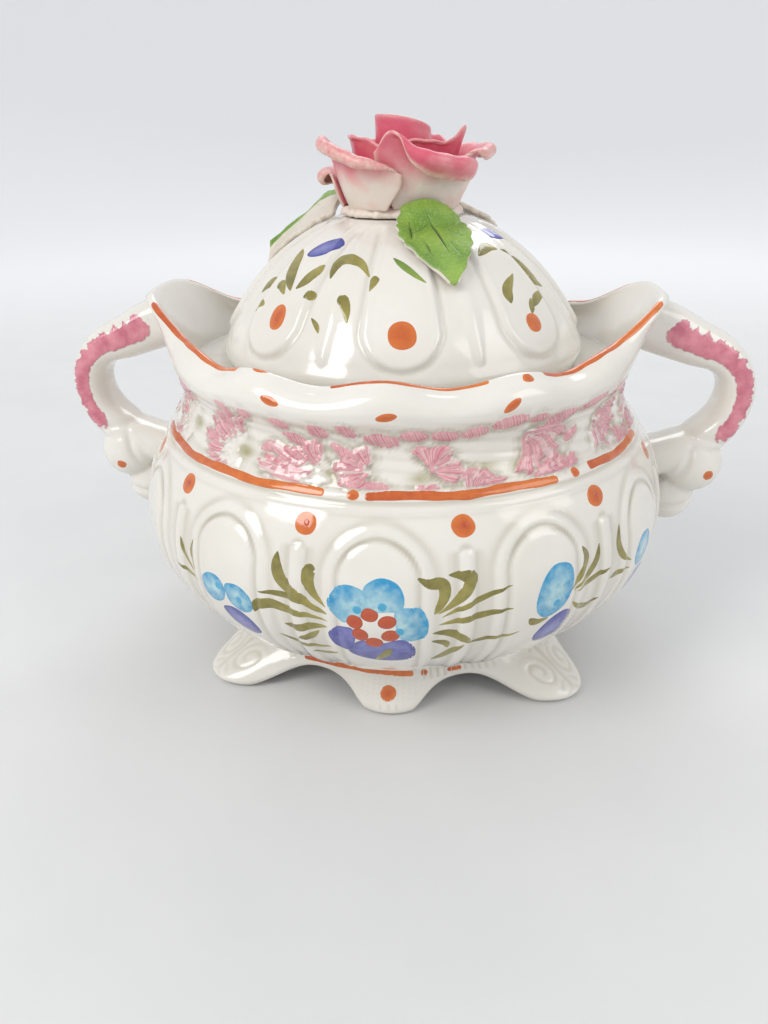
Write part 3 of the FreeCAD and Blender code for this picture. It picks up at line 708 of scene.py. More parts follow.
ORANGE = enamel("orange_enamel", (0.50, 0.085, 0.012, 1.0), (0.66, 0.17, 0.022, 1.0), (0.55, 0.13, 0.025, 1.0))
RED = enamel("red_enamel", (0.46, 0.06, 0.018, 1.0), (0.52, 0.085, 0.02, 1.0), (0.33, 0.045, 0.02, 1.0))
BLUE = enamel("blue_enamel", (0.45, 0.66, 0.68, 1.0), (0.014, 0.27, 0.52, 1.0), (0.03, 0.33, 0.57, 1.0))
VIOLET = enamel("violet_enamel", (0.20, 0.21, 0.48, 1.0), (0.05, 0.055, 0.30, 1.0), (0.022, 0.025, 0.20, 1.0))
OLIVE = enamel("olive_enamel", (0.17, 0.145, 0.022, 1.0), (0.33, 0.285, 0.065, 1.0), (0.17, 0.14, 0.028, 1.0))
SEA = enamel("sea_enamel", (0.045, 0.33, 0.56, 1.0), (0.07, 0.38, 0.58, 1.0), (0.11, 0.44, 0.62, 1.0))

FLOWER = (-0.6, 64.7)
FLOWER_REACH = 20.0
BLUE_PETALS = (
    ((-8.6, 73.8), (-6.8, 79.3), (-4.8, 80.5), (-2.3, 78.6), (-1.8, 75.2), (-2.7, 69.3), (-5.6, 66.6), (-7.5, 68.9)),
    ((-2.2, 79.2), (-0.7, 82.5), (1.3, 83.3), (3.5, 81.3), (4.5, 76.8), (4.0, 72.5), (1.8, 71.8), (-1.2, 72.1)),
    ((3.2, 71.8), (5.4, 73.1), (7.6, 71.8), (8.7, 66.3), (8.3, 61.0), (6.6, 59.1), (4.0, 60.4), (3.2, 66.5)),
)
VIOLET_PETALS = (
    ((-9.0, 59.3), (-7.5, 63.1), (-5.7, 64.3), (-4.3, 63.2), (-4.2, 58.3), (-5.4, 53.2), (-7.6, 53.4)),
    ((-5.4, 53.2), (-3.0, 58.2), (0.5, 57.4), (4.0, 59.4), (6.1, 55.9), (6.2, 49.5), (3.0, 46.9), (-1.7, 47.4),
     (-4.7, 50.1)),
)
SEEDS = ((-3.9, 67.1), (-1.3, 70.2), (1.7, 67.5), (-3.1, 61.4), (2.2, 61.5), (-0.7, 57.8))
SEA_TOUCHES = ((-3.4, 72.0), (0.9, 73.6), (3.9, 63.6), (-31.5, 69.0), (-26.6, 66.0), (32.6, 67.0))
# Leaves and stems of the spray: full width in millimetres, share of the length where it is widest, places
SPRAY = (
    (4.6, 0.3, ((-18.4, 87.8), (-18.5, 83.4), (-17.8, 79.0), (-16.2, 76.1), (-13.7, 73.0), (-11.4, 69.6), (-8.8, 68.2))),
    (4.4, 0.35, ((-11.0, 84.1), (-12.0, 83.6), (-12.3, 79.8), (-11.3, 75.4), (-9.0, 70.8))),
    (2.4, 0.35, ((-22.4, 71.9), (-17.2, 72.8), (-13.1, 71.6), (-8.7, 68.5))),
    (4.2, 0.25, ((-23.6, 62.6), (-22.6, 66.4), (-19.8, 67.9), (-16.5, 67.1), (-12.8, 66.3), (-8.7, 65.3))),
    (3.6, 0.4, ((-17.9, 59.8), (-14.9, 59.9), (-11.8, 61.8), (-9.0, 62.6))),
    (3.0, 0.4, ((-15.6, 54.0), (-13.0, 56.0), (-10.8, 60.0))),
    (2.6, 0.4, ((-20.0, 53.0), (-16.0, 51.0), (-12.0, 50.5), (-9.0, 52.0))),
    (2.2, 0.4, ((-14.0, 46.0), (-10.5, 46.5), (-8.0, 49.0))),
    (4.2, 0.35, ((6.7, 83.2), (9.0, 81.1), (11.2, 80.4), (11.5, 76.3), (10.4, 71.5), (9.7, 69.6))),
    (4.6, 0.4, ((12.1, 83.5), (14.6, 83.2), (16.0, 82.3), (15.4, 78.5), (13.2, 73.6), (10.4, 69.5))),
    (2.2, 0.4, ((23.6, 77.9), (18.6, 74.7), (14.3, 71.4), (11.0, 68.1))),
    (2.8, 0.45, ((23.9, 69.0), (18.8, 67.9), (14.5, 66.7), (10.5, 65.0))),
    (3.6, 0.45, ((9.5, 61.3), (12.6, 61.1), (15.5, 57.7), (17.0, 54.4))),
    (2.2, 0.3, ((16.6, 55.0), (19.6, 56.0), (22.8, 56.2), (26.0, 57.6))),
    (2.8, 0.5, ((9.4, 57.4), (12.0, 56.0), (12.6, 52.9))),
    (3.4, 0.5, ((9.8, 44.9), (11.6, 47.2), (13.8, 51.4), (15.7, 54.8))),
    (3.2, 0.4, ((27.2, 63.0), (28.8, 60.4), (31.6, 61.0))),
    (3.4, 0.4, ((38.4, 85.0), (39.6, 80.0), (38.0, 74.0), (35.6, 70.0))),
    (3.0, 0.4, ((43.4, 83.0), (42.4, 77.0), (39.6, 72.0), (36.6, 69.0))),
    (2.4, 0.5, ((46.4, 72.0), (42.0, 70.5), (37.6, 68.0))),
    (2.8, 0.4, ((45.0, 60.0), (42.0, 58.0), (39.0, 60.5), (37.0, 64.0))),
    (2.0, 0.5, ((-39.0, 82.0), (-40.0, 76.0), (-38.6, 70.0))),
    (2.0, 0.5, ((-43.6, 80.0), (-42.6, 74.0), (-39.4, 68.0))),
    (2.0, 0.5, ((-46.0, 68.0), (-42.0, 66.4), (-38.4, 65.4))),
    (3.0, 0.4, ((50.0, 86.0), (49.4, 79.0), (51.0, 73.0), (54.0, 69.0))),
    (2.6, 0.4, ((47.6, 66.0), (50.0, 66.4), (54.0, 66.0))),
)
STEM = (3.2, 0.4, ((2.3, 55.0), (1.1, 51.0), (-0.8, 47.0)))
BUDS_BLUE = (
    ((-36.6, 66.6), (-34.6, 72.0), (-31.6, 72.6), (-30.0, 68.4), (-31.0, 63.2), (-34.0, 61.2)),
    ((-29.6, 70.4), (-26.6, 72.0), (-24.2, 69.0), (-24.0, 63.4), (-26.4, 61.0), (-29.0, 63.6)),
    ((28.4, 70.0), (29.6, 77.6), (32.0, 81.6), (35.2, 80.0), (36.0, 73.0), (34.4, 65.0), (31.2, 61.8), (29.0, 64.6)),
    ((55.4, 70.0), (57.4, 76.0), (60.8, 76.4), (62.2, 70.4), (60.2, 64.4), (56.8, 64.6)),
)
BUDS_VIOLET = (
    ((-31.6, 58.8), (-28.4, 61.0), (-25.2, 57.6), (-24.2, 51.6), (-26.8, 49.2), (-30.2, 52.4)),
    ((30.0, 53.0), (32.0, 59.4), (35.2, 62.0), (37.2, 58.4), (36.0, 51.0), (33.2, 47.6), (30.8, 48.6)),
    ((56.6, 56.0), (58.4, 61.4), (61.6, 60.8), (62.0, 54.6), (59.4, 50.6), (57.0, 52.0)),
)
BELLY_DOTS = ((-69.0, 98.8), (-45.0, 98.0), (-13.6, 97.4), (15.3, 97.9), (45.0, 98.0), (74.0, 98.4))
NECK_LINES = ((-72.0, -10.8), (-3.0, 37.0), (46.0, 72.0))
NECK_DOTS = (-5.2, 41.8)
NECK_LINE_Z = 106.6
LIP_MID = LIP_FROM + 0.45 * LIP_RUN
bowl_skin = sampled(bowl_points, outside_runs)
orange, red, blue, violet, olive, sea = [new_batch() for _ in range(6)]


def fuller(outline, half):
    """The same shape a little fuller and turned to one half of the bowl."""
    middle = np.mean(outline, axis=0)
    return middle + 1.16 * (np.array(outline) - middle) + np.array([half, 0.0])


for half in (0.0, 180.0):
    for outline in BLUE_PETALS:
        blob(blue, bowl_skin, fuller(outline, half), (FLOWER[0] + half, FLOWER[1]), FLOWER_REACH)
    for outline in VIOLET_PETALS:
        blob(violet, bowl_skin, fuller(outline, half), (FLOWER[0] + half, FLOWER[1]), FLOWER_REACH)
    for batch, outlines in ((blue, BUDS_BLUE), (violet, BUDS_VIOLET)):
        for outline in outlines:
            blob(batch, bowl_skin, fuller(outline, half))
    for azimuth, height in SEEDS:
        dot(red, bowl_skin, azimuth + half, height, 6.2, 5.4, 15.0 * azimuth, PAINT_OVER)
    for azimuth, height in SEA_TOUCHES:
        dot(sea, bowl_skin, azimuth + half, height, 3.2, 3.4, 0.0, PAINT_OVER)
    for width, fat, places in SPRAY + (STEM,):
        over = PAINT_OVER if places is STEM[2] else 0.0
        stroke(olive, bowl_skin, [(a + half, z) for a, z in places], 1.2 * width, fat, False, over)
    for azimuth, height in BELLY_DOTS:
        dot(orange, bowl_skin, azimuth + half, height, 8.8, 8.6)
        dot(red, bowl_skin, azimuth + half + 0.2, height + 0.3, 2.2, 2.4, 0.0, PAINT_OVER)
    for start, end in NECK_LINES:
        places = [(a + half, NECK_LINE_Z + 0.3 * math.sin(0.3 * a)) for a in np.linspace(start, end, 9)]
        stroke(orange, bowl_skin, places, 3.7, blunt=True)
    for azimuth in NECK_DOTS:
        dot(orange, bowl_skin, azimuth + half, NECK_LINE_Z, 4.4, 4.2)
    for start, end, width in ((-76.0, -35.0, 3.3), (-11.5, 23.0, 2.2), (36.0, 78.0, 3.3)):
        stroke(orange, bowl_skin, [(a + half, LIP_MID) for a in np.linspace(start, end, 9)], width, blunt=True)
    dot(orange, bowl_skin, -28.4 + half, LIP_MID + 0.5, 7.6, 3.4)
    dot(orange, bowl_skin, 31.0 + half, LIP_FROM - 0.5, 5.0, 3.2)
    for azimuth, share, lean in ((-23.0, 0.69, -8.0), (1.2, 0.55, 12.0), (26.0, 0.64, 30.0)):
        dot(orange, bowl_skin, azimuth + half, WAIST_Z + share * COLLAR_RUN, 7.4, 3.4, lean)
for name, batch, colour in (("orange_line_and_dots", orange, ORANGE), ("red_seeds", red, RED),
                            ("blue_petals", blue, BLUE), ("violet_petals", violet, VIOLET),
                            ("olive_leaves", olive, OLIVE), ("sea_blue_touches", sea, SEA)):
    painted(name, batch, colour, "bowl")

# The foot: a hollow skirt cast with the bowl, drawn out into four broad paws with pressed scrolls and a small
# drop at the front and back, with a row of nicks between them, glazed white and stood flat on its pads.
PAW_PLACES = (-128.5, -51.5, 51.5, 128.5)
DROP_PLACES = (0.0, 180.0)
PAW_WIDTH = 14.5
DROP_WIDTH = 12.0
LOBE_FLAT = 2.2
PAW_SPLAY = 25.5
DROP_SPLAY = 7.3
FOOT_R = 72.5
FOOT_WALL = 7.0
FOOT_ARCH = 11.5
FOOT_PAD = 0.72
FOOT_TOP = 20.4
FOOT_INNER_TOP = 17.6
FOOT_ROUND = 3.0
FOOT_COLUMNS = 720
# Height, radius against the plain foot, and share of the lobes' splay
FOOT_LEVELS = ((0.0, 0.0, 0.95), (4.0, 0.0, 1.0), (9.0, -0.5, 0.7), (16.0, -1.5, 0.2), (22.0, -2.0, 0.0))
foot_profile = curve(FOOT_LEVELS, 80)


def lobes(angle, places, width):
    return sum(np.exp(-(np.abs(wrapped(angle - place)) / width) ** LOBE_FLAT) for place in places)


def foot_radius(angle, height):
    """Radius of the foot's outside before any relief."""
    out = np.interp(height, foot_profile[:, 0], foot_profile[:, 1])
    share = np.interp(height, foot_profile[:, 0], foot_profile[:, 2])
    splay = DROP_SPLAY * lobes(angle, DROP_PLACES, DROP_WIDTH) + PAW_SPLAY * lobes(angle, PAW_PLACES, PAW_WIDTH)
    return FOOT_R + out + share * splay


def foot_edge(angle):
    """Height of the lower edge, flat under the pads and arched between them."""
    stand = lobes(angle, DROP_PLACES, DROP_WIDTH) + lobes(angle, PAW_PLACES, PAW_WIDTH)
    arch = FOOT_ARCH * (1.0 - stand / FOOT_PAD)
    return 0.5 * (arch + np.sqrt(arch ** 2 + 1.5)) - 0.02 * FOOT_ARCH * np.exp(-arch ** 2)


def foot_relief(angle, height):
    """Depth of the pressed ornament: scrolls and a ribbed leaf on each paw, nicks along the skirt."""
    deep = np.zeros_like(angle)
    slope = (FOOT_TOP - height) * 1.55
    for place in PAW_PLACES:
        off = wrapped(angle - place)
        u = off * np.radians(1.0) * foot_radius(angle, height)
        for side in (-1.0, 1.0):
            x, y = u - 7.6 * side, slope - 15.5
            reach = np.hypot(x, y)
            turn = np.arctan2(y, x * side) / (2.0 * math.pi)
            coil = 0.5 + 0.5 * np.cos(2.0 * math.pi * (reach / 3.6 - turn))
            deep += 0.6 * coil ** 2 * (1.0 - smooth(5.2, 7.0, reach)) * smooth(0.4, 1.6, reach)
        stem = np.exp(-((u / 1.0) ** 2)) * smooth(4.0, 7.0, slope) * (1.0 - smooth(23.0, 26.0, slope))
        veins = (0.5 + 0.5 * np.cos(2.0 * math.pi * (slope - 0.9 * np.abs(u)) / 4.6)) ** 3
        veins *= smooth(0.8, 2.0, np.abs(u)) * (1.0 - smooth(4.6, 6.2, np.abs(u)))
        veins *= smooth(19.0, 21.0, slope) * (1.0 - smooth(25.0, 27.0, slope)) + (slope < 9.0)
        deep += 0.6 * stem + 0.5 * veins * (np.abs(off) < 20.0)
    drop = lobes(angle, DROP_PLACES, DROP_WIDTH)
    between = (1.0 - smooth(0.1, 0.5, lobes(angle, PAW_PLACES, PAW_WIDTH))) * (1.0 - smooth(0.35, 0.75, drop))
    nicks = np.clip(np.sin(np.radians(angle * 150.0) + 0.25 * height), 0.0, 1.0) ** 1.5
    above = height - foot_edge(angle)
    turned = wrapped(2.0 * angle) / 2.0
    striped = smooth(-35.0, -32.0, turned) * (1.0 - smooth(8.0, 10.0, turned))
    deep += 0.6 * nicks * between * (1.0 - striped) * smooth(2.6, 3.4, above) * smooth(12.6, 13.6, height)
    deep += 0.4 * nicks * smooth(0.85, 0.95, drop) * smooth(2.6, 3.3, above) * (1.0 - smooth(5.2, 6.0, above))
    pebbled = np.sin(np.radians(angle * 97.0)) * np.sin(1.9 * height + 0.7 * np.sin(np.radians(angle * 61.0)))
    deep += 0.22 * pebbled ** 2 * smooth(0.3, 0.6, drop) * smooth(5.4, 6.6, above)
    return deep


def foot_skin(angle, height):
    return round_axis(foot_radius(angle, height) - foot_relief(angle, height) - SKIN_INSET, angle, height)


foot_angles = np.arange(FOOT_COLUMNS) * 360.0 / FOOT_COLUMNS
low_edge = foot_edge(foot_angles)
foot_rows = []
foot_deep = []
for share in np.linspace(1.0, 0.0, 44) ** 1.15:
    height = low_edge + (FOOT_TOP - low_edge) * share
    corner = np.clip(1.0 - (height - low_edge) / FOOT_ROUND, 0.0, 1.0)
    tuck = FOOT_ROUND * (1.0 - np.sqrt(np.clip(1.0 - corner ** 2, 0.0, 1.0)))
    deep = foot_relief(foot_angles, height)
    foot_rows.append(round_axis(foot_radius(foot_angles, height) - SKIN_INSET - deep - tuck, foot_angles, height))
    foot_deep.append(deep)
edge_radius = foot_radius(foot_angles, low_edge)
for back in (4.4, 5.8, FOOT_WALL):
    foot_rows.append(round_axis(edge_radius - back, foot_angles, low_edge + 0.3 * (back == FOOT_WALL)))
for share in (0.2, 0.4, 0.6, 0.8, 1.0):
    height = low_edge + (FOOT_INNER_TOP - low_edge) * share
    foot_rows.append(round_axis(foot_radius(foot_angles, height) - FOOT_WALL, foot_angles, height))
# Glaze pooling and painted shade in the pressed ornament: the 'hollow' mark greys the glaze as deep as the relief goes.
foot_hollow = list(np.clip(np.array(foot_deep) * 0.75, 0.0, 0.8))
foot_hollow += [np.zeros(FOOT_COLUMNS) for _ in range(len(foot_rows) - len(foot_hollow))]


def plain_glaze():
    """White glaze alone."""
    material, tree, surface = shader("white_tin_glaze")
    place = add(tree, "ShaderNodeTexCoord").outputs["Object"]
    cloud = noise(tree, place, 28.0, 4.0)
    tree.links.new(white_coat(tree, place, cloud), surface.inputs["Base Color"])
    glaze_coat(tree, surface, place, cloud)
    return material


white_glaze = plain_glaze()
foot_mesh = skin_mesh("foot_skirt_skin", foot_rows[::-1], {"hollow": foot_hollow[::-1]}, joined=True)
piece("foot_skirt_skin", foot_mesh, white_glaze, "bowl", "white_glaze", "foot_skirt")
foot_orange = new_batch()
for half in (0.0, 180.0):
    line = ((-31.0, 14.9), (-20.0, 15.9), (-9.8, 16.6), (0.0, 16.6), (8.0, 16.0))
    stroke(foot_orange, foot_skin, [(a + half, z) for a, z in line], 2.9, blunt=True)
    stroke(foot_orange, foot_skin, [(19.0 + half, 15.8), (24.4 + half, 15.5)], 2.2, blunt=True)
    dot(foot_orange, foot_skin, 11.4 + half, 15.9, 3.4, 2.8)
    dot(foot_orange, foot_skin, 0.0 + half, 9.6, 7.2, 7.2)
painted("orange_foot_line", foot_orange, ORANGE, "bowl")

# The handles: thick straps pulled from the spouts down to the belly, each ending on two rolled knobs, stuck on
# with slip and smoothed, white glazed, with a feathered pink band on the outer corner and an orange dot.
STRAP = ((-20.0, 145.0, 22.0), (-6.0, 140.2, 21.5), (6.0, 135.2, 19.0), (17.0, 130.8, 16.0), (24.0, 123.4, 14.5),
         (26.0, 113.5, 14.5), (22.8, 103.0, 15.0), (14.6, 93.8, 16.0), (4.0, 88.0, 16.5), (-10.0, 84.0, 17.0))
STRAP_W = 23.0
STRAP_SQUARE = 0.75
KNOBS = ((12.6, 83.6, 13.6, 14.0), (5.0, 67.6, 11.4, 11.0))
# Folds pressed into the knobs: distance out from the belly, height and depth along each
FOLDS = (
    ((24.0, 93.5, 0.1), (18.5, 96.6, 1.1), (11.0, 97.6, 1.1), (3.0, 96.6, 0.1)),
    ((10.5, 96.8, 0.3), (9.2, 90.0, 1.2), (7.2, 83.0, 1.2), (3.0, 76.5, 0.3)),
    ((16.5, 68.5, 0.1), (10.0, 66.0, 1.0), (3.0, 64.6, 0.9), (-4.0, 64.0, 0.2)),
)
FOLD_WIDTH = 1.5
VOXEL = 0.75
WALL_BITE = 2.8
BAND_PLACE = 84.0
BAND_HALF = 29.0


def tube(rings):
    """Points and faces of a closed tube through rings of points."""
    count = len(rings[0])
    points = np.vstack(rings)
    i = np.arange(count)
    j = (i + 1) % count
    faces = []
    for k in range(len(rings) - 1):
        a, b = k * count, (k + 1) * count
        faces += np.stack([a + i, a + j, b + j, b + i], axis=1).tolist()
    faces.append(i[::-1].tolist())
    faces.append((i + count * (len(rings) - 1)).tolist())
    return points, faces


strap_line = curve(STRAP, 160)
strap_line[:, 0] += BELLY_R
strap_flow = np.gradient(strap_line[:, :2], axis=0)
strap_flow /= np.linalg.norm(strap_flow, axis=1, keepdims=True)
strap_out = np.stack([-strap_flow[:, 1], strap_flow[:, 0]], axis=1)
section = np.radians(np.arange(0.0, 360.0, 7.5))
square = [np.sign(f) * np.abs(f) ** STRAP_SQUARE for f in (np.cos(section), np.sin(section))]
strap_rings = []
for (x, z, thick), (out_x, out_z) in zip(strap_line, strap_out):
    out = 0.5 * (thick - 0.5) * square[0]
    strap_rings.append(np.stack([x + out * out_x, -0.5 * (STRAP_W - 0.5) * square[1], z + out * out_z], axis=1))
parts = [tube(strap_rings)]
for offset, height, radius, half in KNOBS:
    rings = []
    for share in np.sin(np.linspace(-0.5, 0.5, 25) * math.pi):
        turn = np.radians(np.arange(0.0, 360.0, 6.0))
        girth = (radius - 0.3) * max(1.0 - abs(share) ** 2.6, 0.004) ** 0.5
        groove = 1.0 - 0.05 * np.exp(-((abs(share) - 0.52) / 0.09) ** 2)
        x = BELLY_R + offset + girth * groove * np.cos(turn)
        rings.append(np.stack([x, np.full(len(turn), (half - 0.3) * share), height + girth * groove * np.sin(turn)], axis=1))
    parts.append(tube(rings))
points, faces = [], []
for part_points, part_faces in parts:
    faces += [[v + len(points) for v in face] for face in part_faces]
    points += (part_points * MM).tolist()
rough_mesh = bpy.data.meshes.new("handle_rough")
rough_mesh.from_pydata(points, [], faces)
turned = bmesh.new()
turned.from_mesh(rough_mesh)
bmesh.ops.recalc_face_normals(turned, faces=turned.faces)
turned.to_mesh(rough_mesh)
turned.free()
rough = bpy.data.objects.new("handle_rough", rough_mesh)
bpy.context.collection.objects.link(rough)
melt = rough.modifiers.new("melt", "REMESH")
melt.mode = "VOXEL"
melt.voxel_size = VOXEL * MM
soften = rough.modifiers.new("soften", "SMOOTH")
soften.factor = 0.5
soften.iterations = 8
bpy.context.view_layer.update()
handle_mesh = bpy.data.meshes.new_from_object(rough.evaluated_get(bpy.context.evaluated_depsgraph_get()))
bpy.data.objects.remove(rough)
handle_points = np.empty(3 * len(handle_mesh.vertices))
handle_mesh.vertices.foreach_get("co", handle_points)
handle_points = handle_points.reshape(-1, 3) / MM
nearest = np.argmin(np.linalg.norm(handle_points[:, None, ::2] - strap_line[None, :, :2], axis=2), axis=1)
out_by = np.sum((handle_points[:, ::2] - strap_line[nearest, :2]) * strap_out[nearest], axis=1)
round_turn = np.degrees(np.arctan2(np.abs(handle_points[:, 1]) / STRAP_W, out_by / strap_line[nearest, 2]))
along = nearest / (len(strap_line) - 1.0)
for number, fold in enumerate(FOLDS):
    fold_line = curve(fold, 60)
    knob = KNOBS[min(number, 2) // 2]
    off = np.linalg.norm(handle_points[:, None, ::2] - [BELLY_R, 0.0] - fold_line[None, :, :2], axis=2)
    depth = fold_line[np.argmin(off, axis=1), 2] * np.exp(-((off.min(axis=1) / FOLD_WIDTH) ** 2))
    inward = handle_points - [BELLY_R + knob[0], 0.0, knob[1]]
    inward /= np.maximum(np.linalg.norm(inward, axis=1, keepdims=True), 1.0)
    handle_points -= depth[:, None] * inward
wall_runs = np.linspace(BASE_Z, LIP_FROM, 500)
wall_radius, wall_height = plain_bowl(np.full(500, 90.0), wall_runs)
girth = np.hypot(handle_points[:, 0], handle_points[:, 1])
bite = np.interp(handle_points[:, 2], wall_height, wall_radius) - WALL_BITE
handle_points[:, :2] *= np.where(girth < bite, bite / girth, 1.0)[:, None]


def feathered_glaze():
    """White glaze with a pink band whose ragged edge is brushed outward."""
    material, tree, surface = shader("handle_glaze")
    place = add(tree, "ShaderNodeTexCoord").outputs["Object"]
    cloud = noise(tree, place, 28.0, 4.0)
    across = add(tree, "ShaderNodeAttribute", attribute_name="across").outputs["Fac"]
    along_mark = add(tree, "ShaderNodeAttribute", attribute_name="along").outputs["Fac"]
    comb = add(tree, "ShaderNodeCombineXYZ", {"X": along_mark, "Y": across})
    barbs = add(tree, "ShaderNodeMapping", {"Vector": comb.outputs["Vector"], "Scale": (46.0, 0.7, 1.0)})
    ragged = noise(tree, barbs.outputs["Vector"], 1.0, 3.0)
    past_start = spread(tree, along_mark, 0.15, 0.03, 0.0, 2.05)
    past_end = spread(tree, along_mark, 0.68, 0.80, 0.0, 2.05)
    past = add(tree, "ShaderNodeMath", {0: past_start, 1: past_end}, operation="ADD").outputs["Value"]
    from_middle = add(tree, "ShaderNodeCombineXYZ", {"X": across, "Y": past})
    away = add(tree, "ShaderNodeVectorMath", {0: from_middle.outputs["Vector"]}, operation="LENGTH").outputs["Value"]
    spiky = spread(tree, ragged, 0.3, 0.7, 0.55, 1.4)
    even = spread(tree, ragged, 0.3, 0.7, 0.85, 1.05)
    side = spread(tree, across, -0.2, 0.2)
    edge = add(tree, "ShaderNodeMix", {"Factor": side, 2: spiky, 3: even}, data_type="FLOAT").outputs[0]
    inside = add(tree, "ShaderNodeMath", {0: edge, 1: away}, operation="SUBTRACT").outputs["Value"]
    cover = spread(tree, inside, 0.0, 0.12, 0.0, 0.95)
    tree.links.new(mixed(tree, cover, white_coat(tree, place, cloud), pink_wash(tree, place)), surface.inputs["Base Color"])
    glaze_coat(tree, surface, place, cloud)
    ridged = add(tree, "ShaderNodeMath", {0: cover, 1: spread(tree, ragged, 0.3, 0.7, 0.5, 1.0)}, operation="MULTIPLY")
    coat_normal = surface.inputs["Normal"].links[0].from_socket
    raised = add(tree, "ShaderNodeBump", {"Height": ridged.outputs["Value"], "Strength": 0.5, "Distance": 0.0012,
                                          "Normal": coat_normal})
    tree.links.new(raised.outputs["Normal"], surface.inputs["Normal"])
    return material


handle_glaze = feathered_glaze()
handle_marks = {"across": (round_turn - BAND_PLACE) / BAND_HALF, "along": along}
for side, name in ((1.0, "right"), (-1.0, "left")):
    mesh = handle_mesh.copy()
    mesh.name = "handle_" + name + "_skin"
    mesh.vertices.foreach_set("co", (handle_points * [side * MM, MM, MM]).ravel())
    if side < 0:
        mesh.flip_normals()
    for key, value in handle_marks.items():
        mesh.attributes.new(key, "FLOAT", "POINT").data.foreach_set("value", value.astype(np.float32))
    mesh.shade_smooth()
    piece("handle_" + name + "_skin", mesh, handle_glaze, "bowl", "white_glaze", "handle_" + name)
bpy.data.meshes.remove(handle_mesh)


def knob_face(x, height):
    """Front end of an upper knob."""
    offset, middle, radius, half = KNOBS[0]
    off = np.hypot(np.abs(x) - BELLY_R - offset, height - middle) / (radius - 0.3)
    return np.stack([x, -(half - 0.45) * np.clip(1.0 - off ** 2, 0.01, 1.0) ** (1.0 / 2.6), height + 0.0 * x], axis=-1)


knob_orange = new_batch()
dot(knob_orange, knob_face, -126.0, 79.6, 6.4, 6.0)
dot(knob_orange, knob_face, 129.6, 81.6, 6.4, 6.0)
painted("orange_knob_dots", knob_orange, ORANGE, "bowl")

# The lid: a domed cover cast with eight raised tongues and a finger rib between each two, and a ring
# underneath that drops into the mouth. It is glazed white all over and rests loose on the bowl's ledge.
LID_OUTLINE = ((71.5, 129.3), (73.5, 135.5), (71.4, 143.5), (66.8, 151.5), (59.0, 161.6), (49.6, 170.6),
               (39.0, 178.0), (30.0, 182.3), (25.5, 183.8))
LID_UNDER = ((12.0, 178.8), (26.1, 178.7), (35.1, 174.4), (45.7, 167.0), (55.1, 158.0), (62.9, 147.9), (67.3, 140.2),
             (66.4, 139.3), (58.7, 135.4), (58.5, 134.8), (58.5, 121.2), (59.4, 120.4), (62.6, 120.4), (63.5, 121.2),
             (63.5, 128.6), (64.2, 129.3), (70.0, 129.3))
LID_COLUMNS = 576
LID_ROWS = 84
TONGUE_AZIMUTH = 4.0
TONGUE_PITCH = 45.0
TONGUE_HALF = 11.7
TONGUE_TIER = 0.85
TONGUE_END_Z = 154.7
TONGUE_END_R = 13.9
dome_line = curve(LID_OUTLINE, 500)
dome_flow = np.gradient(dome_line, axis=0)
dome_flow /= np.linalg.norm(dome_flow, axis=1, keepdims=True)


def lid_relief(angle, height):
    """Depth of the dome below its full outline."""
    radius = np.interp(height, dome_line[:, 1], dome_line[:, 0])
    from_tongue = (angle - TONGUE_AZIMUTH + 0.5 * TONGUE_PITCH) % TONGUE_PITCH - 0.5 * TONGUE_PITCH
    x = radius * np.sin(np.radians(np.abs(from_tongue)))
    straight = radius * math.sin(math.radians(TONGUE_HALF)) - x
    inside = np.where(height > 151.5, straight, TONGUE_END_R - np.hypot(x, height - TONGUE_END_Z))
    tongue = smooth(-1.0, 1.0, inside)
    bead = np.exp(-((inside - 1.4) / 1.1) ** 2)
    channel = np.exp(-((inside + 1.5) / 1.0) ** 2)
    from_rib = (angle - TONGUE_AZIMUTH) % TONGUE_PITCH - 0.5 * TONGUE_PITCH
    rib_half = 0.3 + 2.9 * np.clip((height - 140.0) / 22.0, 0.0, 1.0) ** 0.7 * radius / 60.0
    rib = np.exp(-((radius * np.radians(np.abs(from_rib)) / rib_half) ** 2)) * smooth(140.0, 144.0, height)
    fade = smooth(135.5, 142.0, height) * (1.0 - smooth(180.5, 183.0, height))
    worked = TONGUE_TIER * (1.0 - tongue) - 0.22 * bead + 0.4 * channel - 0.75 * rib * (1.0 - tongue)
    return 0.42 + fade * worked


def lid_skin(angle, height):
    radius, flow_r, flow_z = [np.interp(height, dome_line[:, 1], row) for row in (dome_line[:, 0], *dome_flow.T)]
    deep = lid_relief(angle, height)
    return round_axis(radius - deep * flow_z, angle, height + deep * flow_r)


travel = np.append(0.0, np.cumsum(np.linalg.norm(np.diff(dome_line, axis=0), axis=1)))
lid_heights = np.interp(np.linspace(0.0, travel[-1], LID_ROWS), travel, dome_line[:, 1])
lid_angles = np.arange(LID_COLUMNS) * 360.0 / LID_COLUMNS
under_angles = lid_angles[::4]
lid_rows = [round_axis(np.full(len(under_angles), r), under_angles, z) for r, z in LID_UNDER]
lid_rows += [lid_skin(lid_angles, np.full(LID_COLUMNS, height)) for height in lid_heights]
for radius in (22.0, 10.0):
    lid_rows.append(round_axis(np.full(len(under_angles), radius), under_angles, 183.4))
lid_hollow = [np.zeros(len(row)) for row in lid_rows]
# Glaze pooling and painted shade where the tongues' relief sinks: the 'hollow' mark greys the glaze there.
for k, height in enumerate(lid_heights):
    lid_hollow[len(LID_UNDER) + k] = 0.3 * smooth(1.3, 1.7, lid_relief(lid_angles, np.full(LID_COLUMNS, height)))
lid_mesh = skin_mesh("lid_skin", lid_rows, {"hollow": lid_hollow})
piece("lid_skin", lid_mesh, white_glaze, "lid", "white_glaze", "lid")

